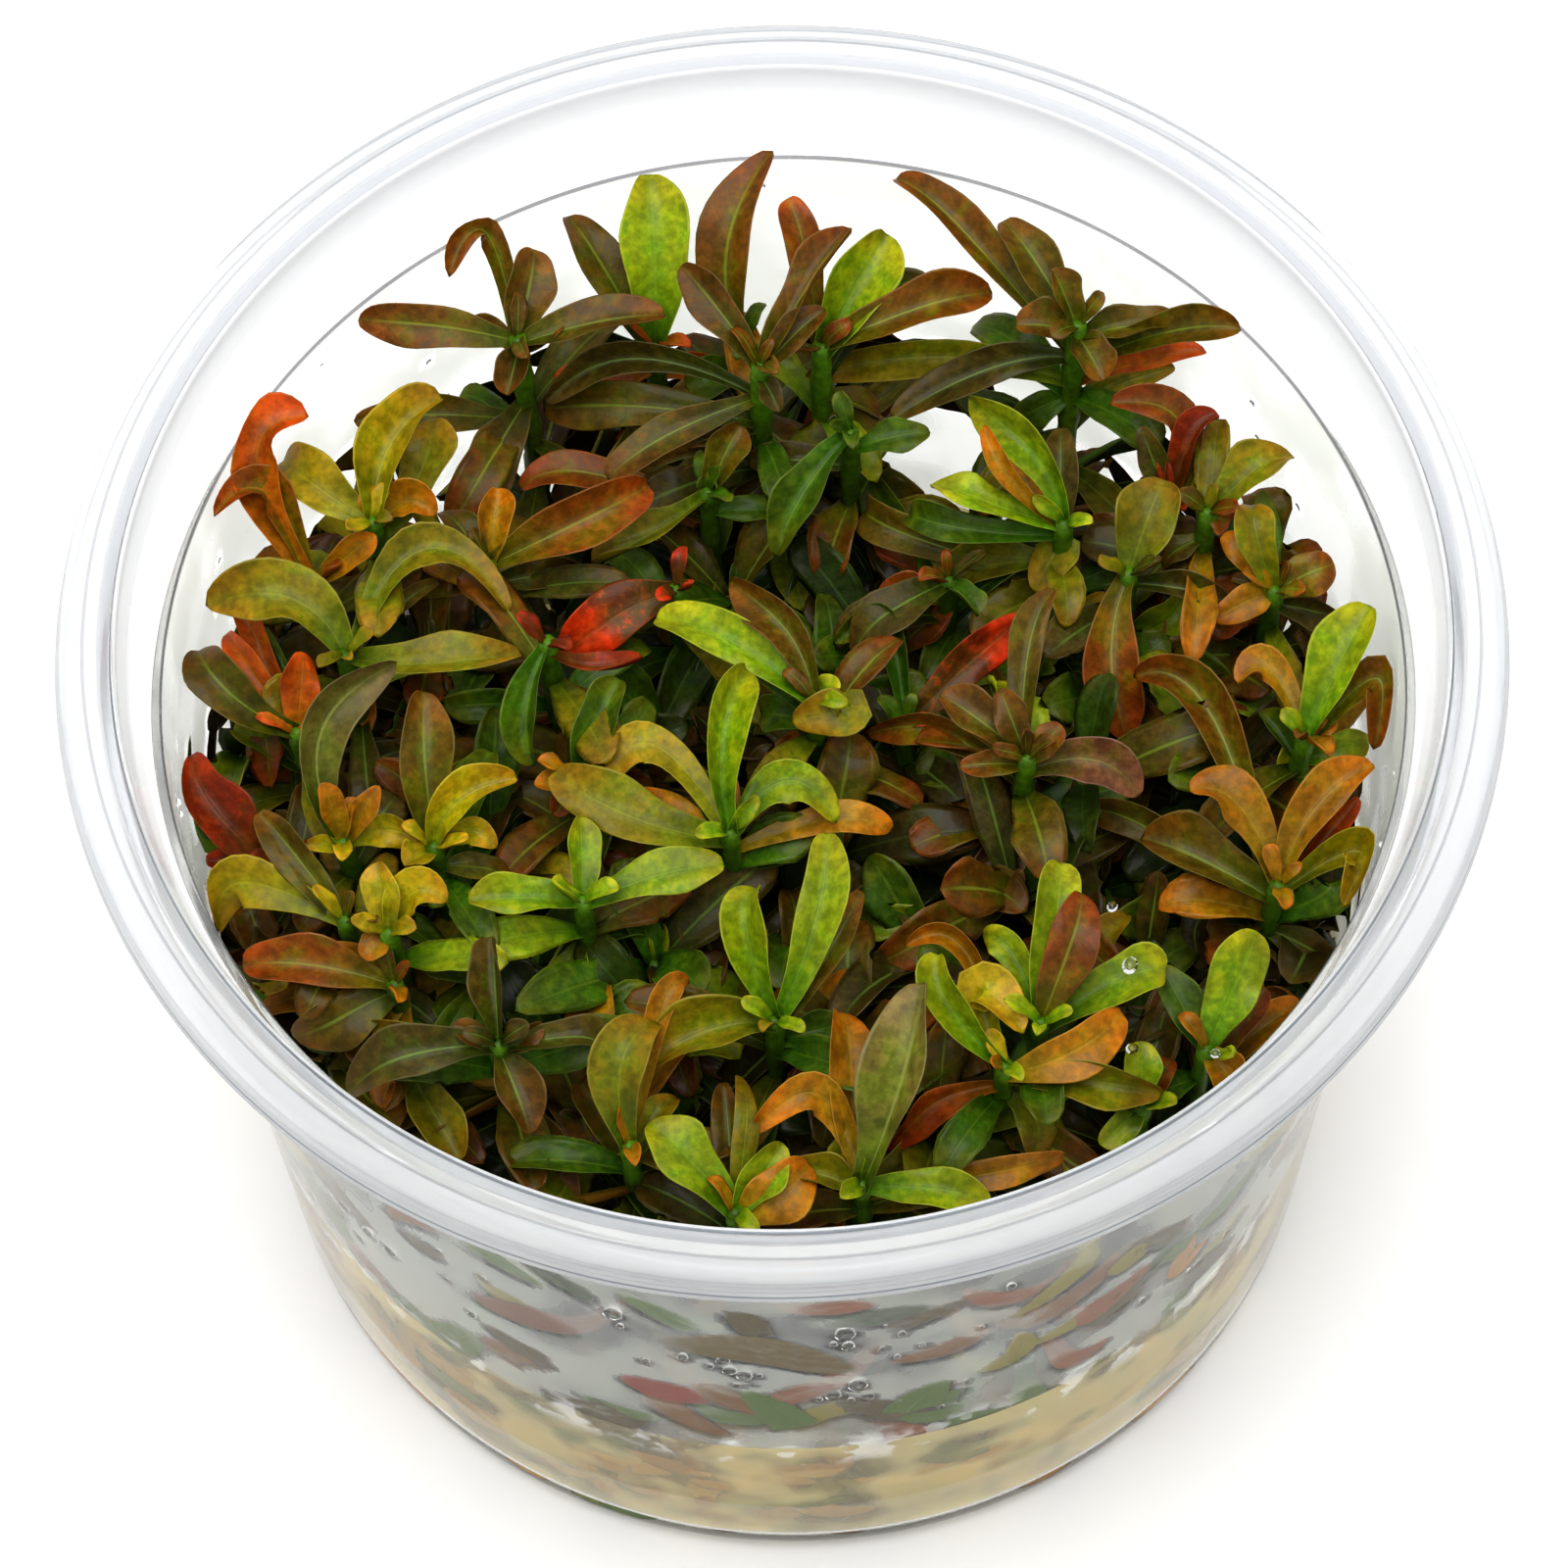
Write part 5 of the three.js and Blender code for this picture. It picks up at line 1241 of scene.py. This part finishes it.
def cupOutline():
    rim, high, wall = cup["rim"], cup["height"], cup["wall"]
    foot = rim - cup["wallFoot"]
    skirt = high - cup["skirtDrop"]
    outline = [
        (0, 0, 0),
        (foot + wall - 0.2 * mm, 0, cup["corner"]),
        (rim - cup["ledge"], ledgeUp - 0.8 * mm, 0.8 * mm),
        (rim - cup["ledge"] + wall, ledgeUp - 0.5 * mm, 0.8 * mm),
        (rim - 3.0 * mm, high - 1.9 * mm, 0.8 * mm),
        (rim - 1.0 * mm, high - 1.0 * mm, 0.5 * mm),
        (rim - 0.75 * mm, skirt, 0.1 * mm),
        (rim, skirt, 0.1 * mm),
    ]
    for rib in range(3):  # fine ribs round the skirt
        up = skirt + (0.35 + 0.5 * rib) * mm
        inset = (0.1 + 0.12 * rib) * mm
        outline += [
            (rim - inset, up, 0.05 * mm),
            (rim - inset - 0.14 * mm, up + 0.14 * mm, 0.05 * mm),
            (rim - inset - 0.02 * mm, up + 0.28 * mm, 0.05 * mm),
        ]
    outline += [
        (rim - cup["bead"], high - 0.3 * mm, 0.3 * mm),
        (rim - 1.2 * mm, high, 0.3 * mm),
        (rim - 1.95 * mm, high, 0.1 * mm),
        (rim - 2.1 * mm, high - 0.15 * mm, 0.05 * mm),
        (rim - 2.25 * mm, high, 0.1 * mm),
        (rim - 3.05 * mm, high, 0.1 * mm),
        (rim - 3.2 * mm, high - 0.35 * mm, 0.1 * mm),
        (rim - 3.9 * mm, high - 0.35 * mm, 0.1 * mm),
        (rim - 4.05 * mm, high, 0.1 * mm),
        (rim - cup["collar"], high - 0.05 * mm, 0.3 * mm),
        (rim - cup["collar"] - 0.05 * mm, high - 0.8 * mm, 0.3 * mm),
        (rim - cup["ledge"], ledgeUp + 0.3 * mm, 0.3 * mm),
        (rim - cup["wallTop"], ledgeUp, 0.3 * mm),
        (foot, cup["floor"], cup["corner"] * 0.8),
        (0, cup["floor"], 0),
    ]
    points = rounded(outline)
    # Short steps down the inside, to carry the mist
    fine = []
    for point, following in zip(points, points[1:]):
        fine.append(point)
        if point.y > following.y + 20 * mm and point.x > foot - 2 * mm:
            steps = int((point.y - following.y) / cup["step"])
            fine += [point.lerp(following, step / steps) for step in range(1, steps)]
    return [*fine, points[-1]]


# Mist on the inside above the gel. Where a leaf lies on the wall, it wipes the mist away.
def mistOf(points):
    tree = KDTree(len(nearWall))
    for place, point in enumerate(nearWall):
        tree.insert(point, place)
    tree.balance()
    mist = np.zeros(len(points))
    for place, (x, y, up) in enumerate(points):
        radius = math.hypot(x, y)
        if gelTop < up < ledgeUp and abs(radius - innerRadius(up)) < 0.1 * mm:
            apart = tree.find((x, y, up))[2]
            mist[place] = min(1, max(0, (apart - cup["wiped"]) / cup["fade"]))
    return mist


def cupMaterial():
    material, tree, shader = startMaterial("cupPlastic", **{
        "IOR": 1.1,
    })
    where = objectPlace(tree)
    mist = attribute(tree, "leafSide", "Fac")
    patchy = spread(tree, noise(tree, where, 100, 2.0), 0.38, 0.58, 0.5, 1.0)
    share = calc(tree, "MULTIPLY", mist, patchy)
    x, y, up = split(tree, where)
    thick = spread(tree, up, cup["height"] - 4 * mm, cup["height"] - 2.2 * mm)
    slope = spread(tree, up, ledgeUp - 1 * mm, ledgeUp + 1 * mm)
    clear = calc(tree, "MULTIPLY_ADD", share, -cup["mist"], cup["clear"])
    clear = calc(tree, "MULTIPLY_ADD", slope, -cup["slope"], clear)
    clear = calc(tree, "MULTIPLY_ADD", thick, cup["slope"] - cup["milky"], clear)
    apart = calc(tree, "ABSOLUTE", calc(tree, "SUBTRACT", up, gelTop + 1 * mm))
    splash = spread(tree, noise(tree, where, 330, 2.0), 0.54, 0.6)
    splash = calc(tree, "MULTIPLY", splash, spread(tree, apart, 1 * mm, 3.5 * mm, 1.0, 0.0))
    clear = calc(tree, "MULTIPLY_ADD", splash, -cup["splash"], clear)
    tree.links.new(clear, shader.inputs["Transmission Weight"])
    tree.links.new(calc(tree, "MULTIPLY_ADD", share, cup["blur"], 0.07), shader.inputs["Roughness"])
    colour = blend(tree, slope, cup["plain"], cup["slopeTint"])
    colour = blend(tree, thick, colour, cup["rimTint"])
    colour = blend(tree, share, colour, cup["mistTint"])
    squares = calc(tree, "ADD", calc(tree, "POWER", x, 2.0), calc(tree, "POWER", y, 2.0))
    across = calc(tree, "SQRT", squares)
    # Painted shade: the rim's grey lines darken its grooves, edges and skirt ribs
    for inset, half, down, room, tint in cup["shadeLines"]:
        near = calc(tree, "ABSOLUTE", calc(tree, "SUBTRACT", across, cup["rim"] - inset * mm))
        high = calc(tree, "ABSOLUTE", calc(tree, "SUBTRACT", up, cup["height"] - down * mm))
        near = spread(tree, near, half * 0.7 * mm, half * mm, 1.0, 0.0)
        high = spread(tree, high, room * 0.6 * mm, room * mm, 1.0, 0.0)
        colour = blend(tree, calc(tree, "MULTIPLY", near, high), colour, tint)
    tree.links.new(colour, shader.inputs["Base Color"])
    return material


wall = turned(cupOutline(), cup["sides"])
wall.sides = [mistOf(wall.points[0])]  # the mist takes the place of a leaf's side
cupPiece = addPiece("cup_visual", wall, [cupMaterial()], "cup")
cupPiece.data.set_sharp_from_angle(angle=math.radians(40))
print("cup made")


# The gel fills the cup's foot and creeps a little up the wall
gel = {
    "room": 0.02 * mm,
    "creep": 0.8 * mm,
    "colours": ("#fdeaa8", "#fff4cc"),
    "clear": (0.54, 0.82),  # how see-through it is where it is cloudy, and elsewhere
    "foot": -0.3,  # how much less it is so at the bottom
}


def gelOutline():
    low = cup["floor"] + gel["room"]
    foot = cup["rim"] - cup["wallFoot"] - gel["room"]
    edge = innerRadius(gelTop + gel["creep"]) - gel["room"]
    return rounded([
        (0, low, 0),
        (foot, low, cup["corner"] * 0.8),
        (edge, gelTop + gel["creep"], 0.02 * mm),
        (edge - 0.3 * mm, gelTop + gel["creep"] * 0.5, 0.3 * mm),
        (edge - 1.6 * mm, gelTop, 0.8 * mm),
        (0, gelTop, 0),
    ])


def gelMaterial():
    material, tree, shader = startMaterial("gel", **{
        "IOR": 1.2, "Roughness": 0.06,
    })
    where = objectPlace(tree)
    cloud = noise(tree, where, 120, 2.0)
    clear = spread(tree, cloud, 0.42, 0.6, *gel["clear"])
    foot = spread(tree, split(tree, where)["Z"], 2 * mm, 7 * mm, gel["foot"], 0.0)
    tree.links.new(calc(tree, "ADD", clear, foot), shader.inputs["Transmission Weight"])
    colour = blend(tree, spread(tree, cloud, 0.35, 0.7), *[paint(code) for code in gel["colours"]])
    tree.links.new(colour, shader.inputs["Base Color"])
    addBump(tree, shader, cloud, 0.3, 0.0006)
    return material


gelPiece = addPiece("gel_visual", turned(gelOutline(), cup["sides"]), [gelMaterial()], "gel")
gelPiece.data.set_sharp_from_angle(angle=math.radians(60))
print("gel made")


# Plain pale floor and soft studio light
studio = {
    "floorColour": (0.84, 0.84, 0.84, 1),
    "reach": 1.5,  # from the middle of the floor to its edges
    "world": 0.8,
    "softbox": 0.9,
    "softboxPlace": (-0.05, -0.05, 0.9),
    "softboxAim": (0, 0, 0.05),
    "power": 8.5,
}


def addStage():
    mesh = bpy.data.meshes.new("floor")
    reach = studio["reach"]
    corners = [(-reach, -reach, 0), (reach, -reach, 0), (reach, reach, 0), (-reach, reach, 0)]
    mesh.from_pydata(corners, [], [(0, 1, 2, 3)])
    floor = bpy.data.objects.new("floor", mesh)
    bpy.context.scene.collection.objects.link(floor)
    floor.location.z = -0.0002
    material, tree, shader = startMaterial("floor", **{"Base Color": studio["floorColour"], "Roughness": 0.9})
    mesh.materials.append(material)
    data = bpy.data.lights.new("softbox", "AREA")
    data.shape = "DISK"
    data.size = studio["softbox"]
    data.energy = studio["power"]
    lamp = bpy.data.objects.new("softbox", data)
    bpy.context.scene.collection.objects.link(lamp)
    lamp.location = studio["softboxPlace"]
    aim = Vector(studio["softboxAim"]) - lamp.location
    lamp.rotation_euler = aim.to_track_quat("-Z", "Y").to_euler()
    world = bpy.data.worlds.new("studio")
    world.use_nodes = True
    background = world.node_tree.nodes["Background"]
    background.inputs["Color"].default_value = (1, 1, 1, 1)
    background.inputs["Strength"].default_value = studio["world"]
    bpy.context.scene.world = world
    bpy.context.scene.view_settings.view_transform = "Standard"
    bpy.context.scene.view_settings.look = "Medium High Contrast"


addStage()
print("stage and light made")
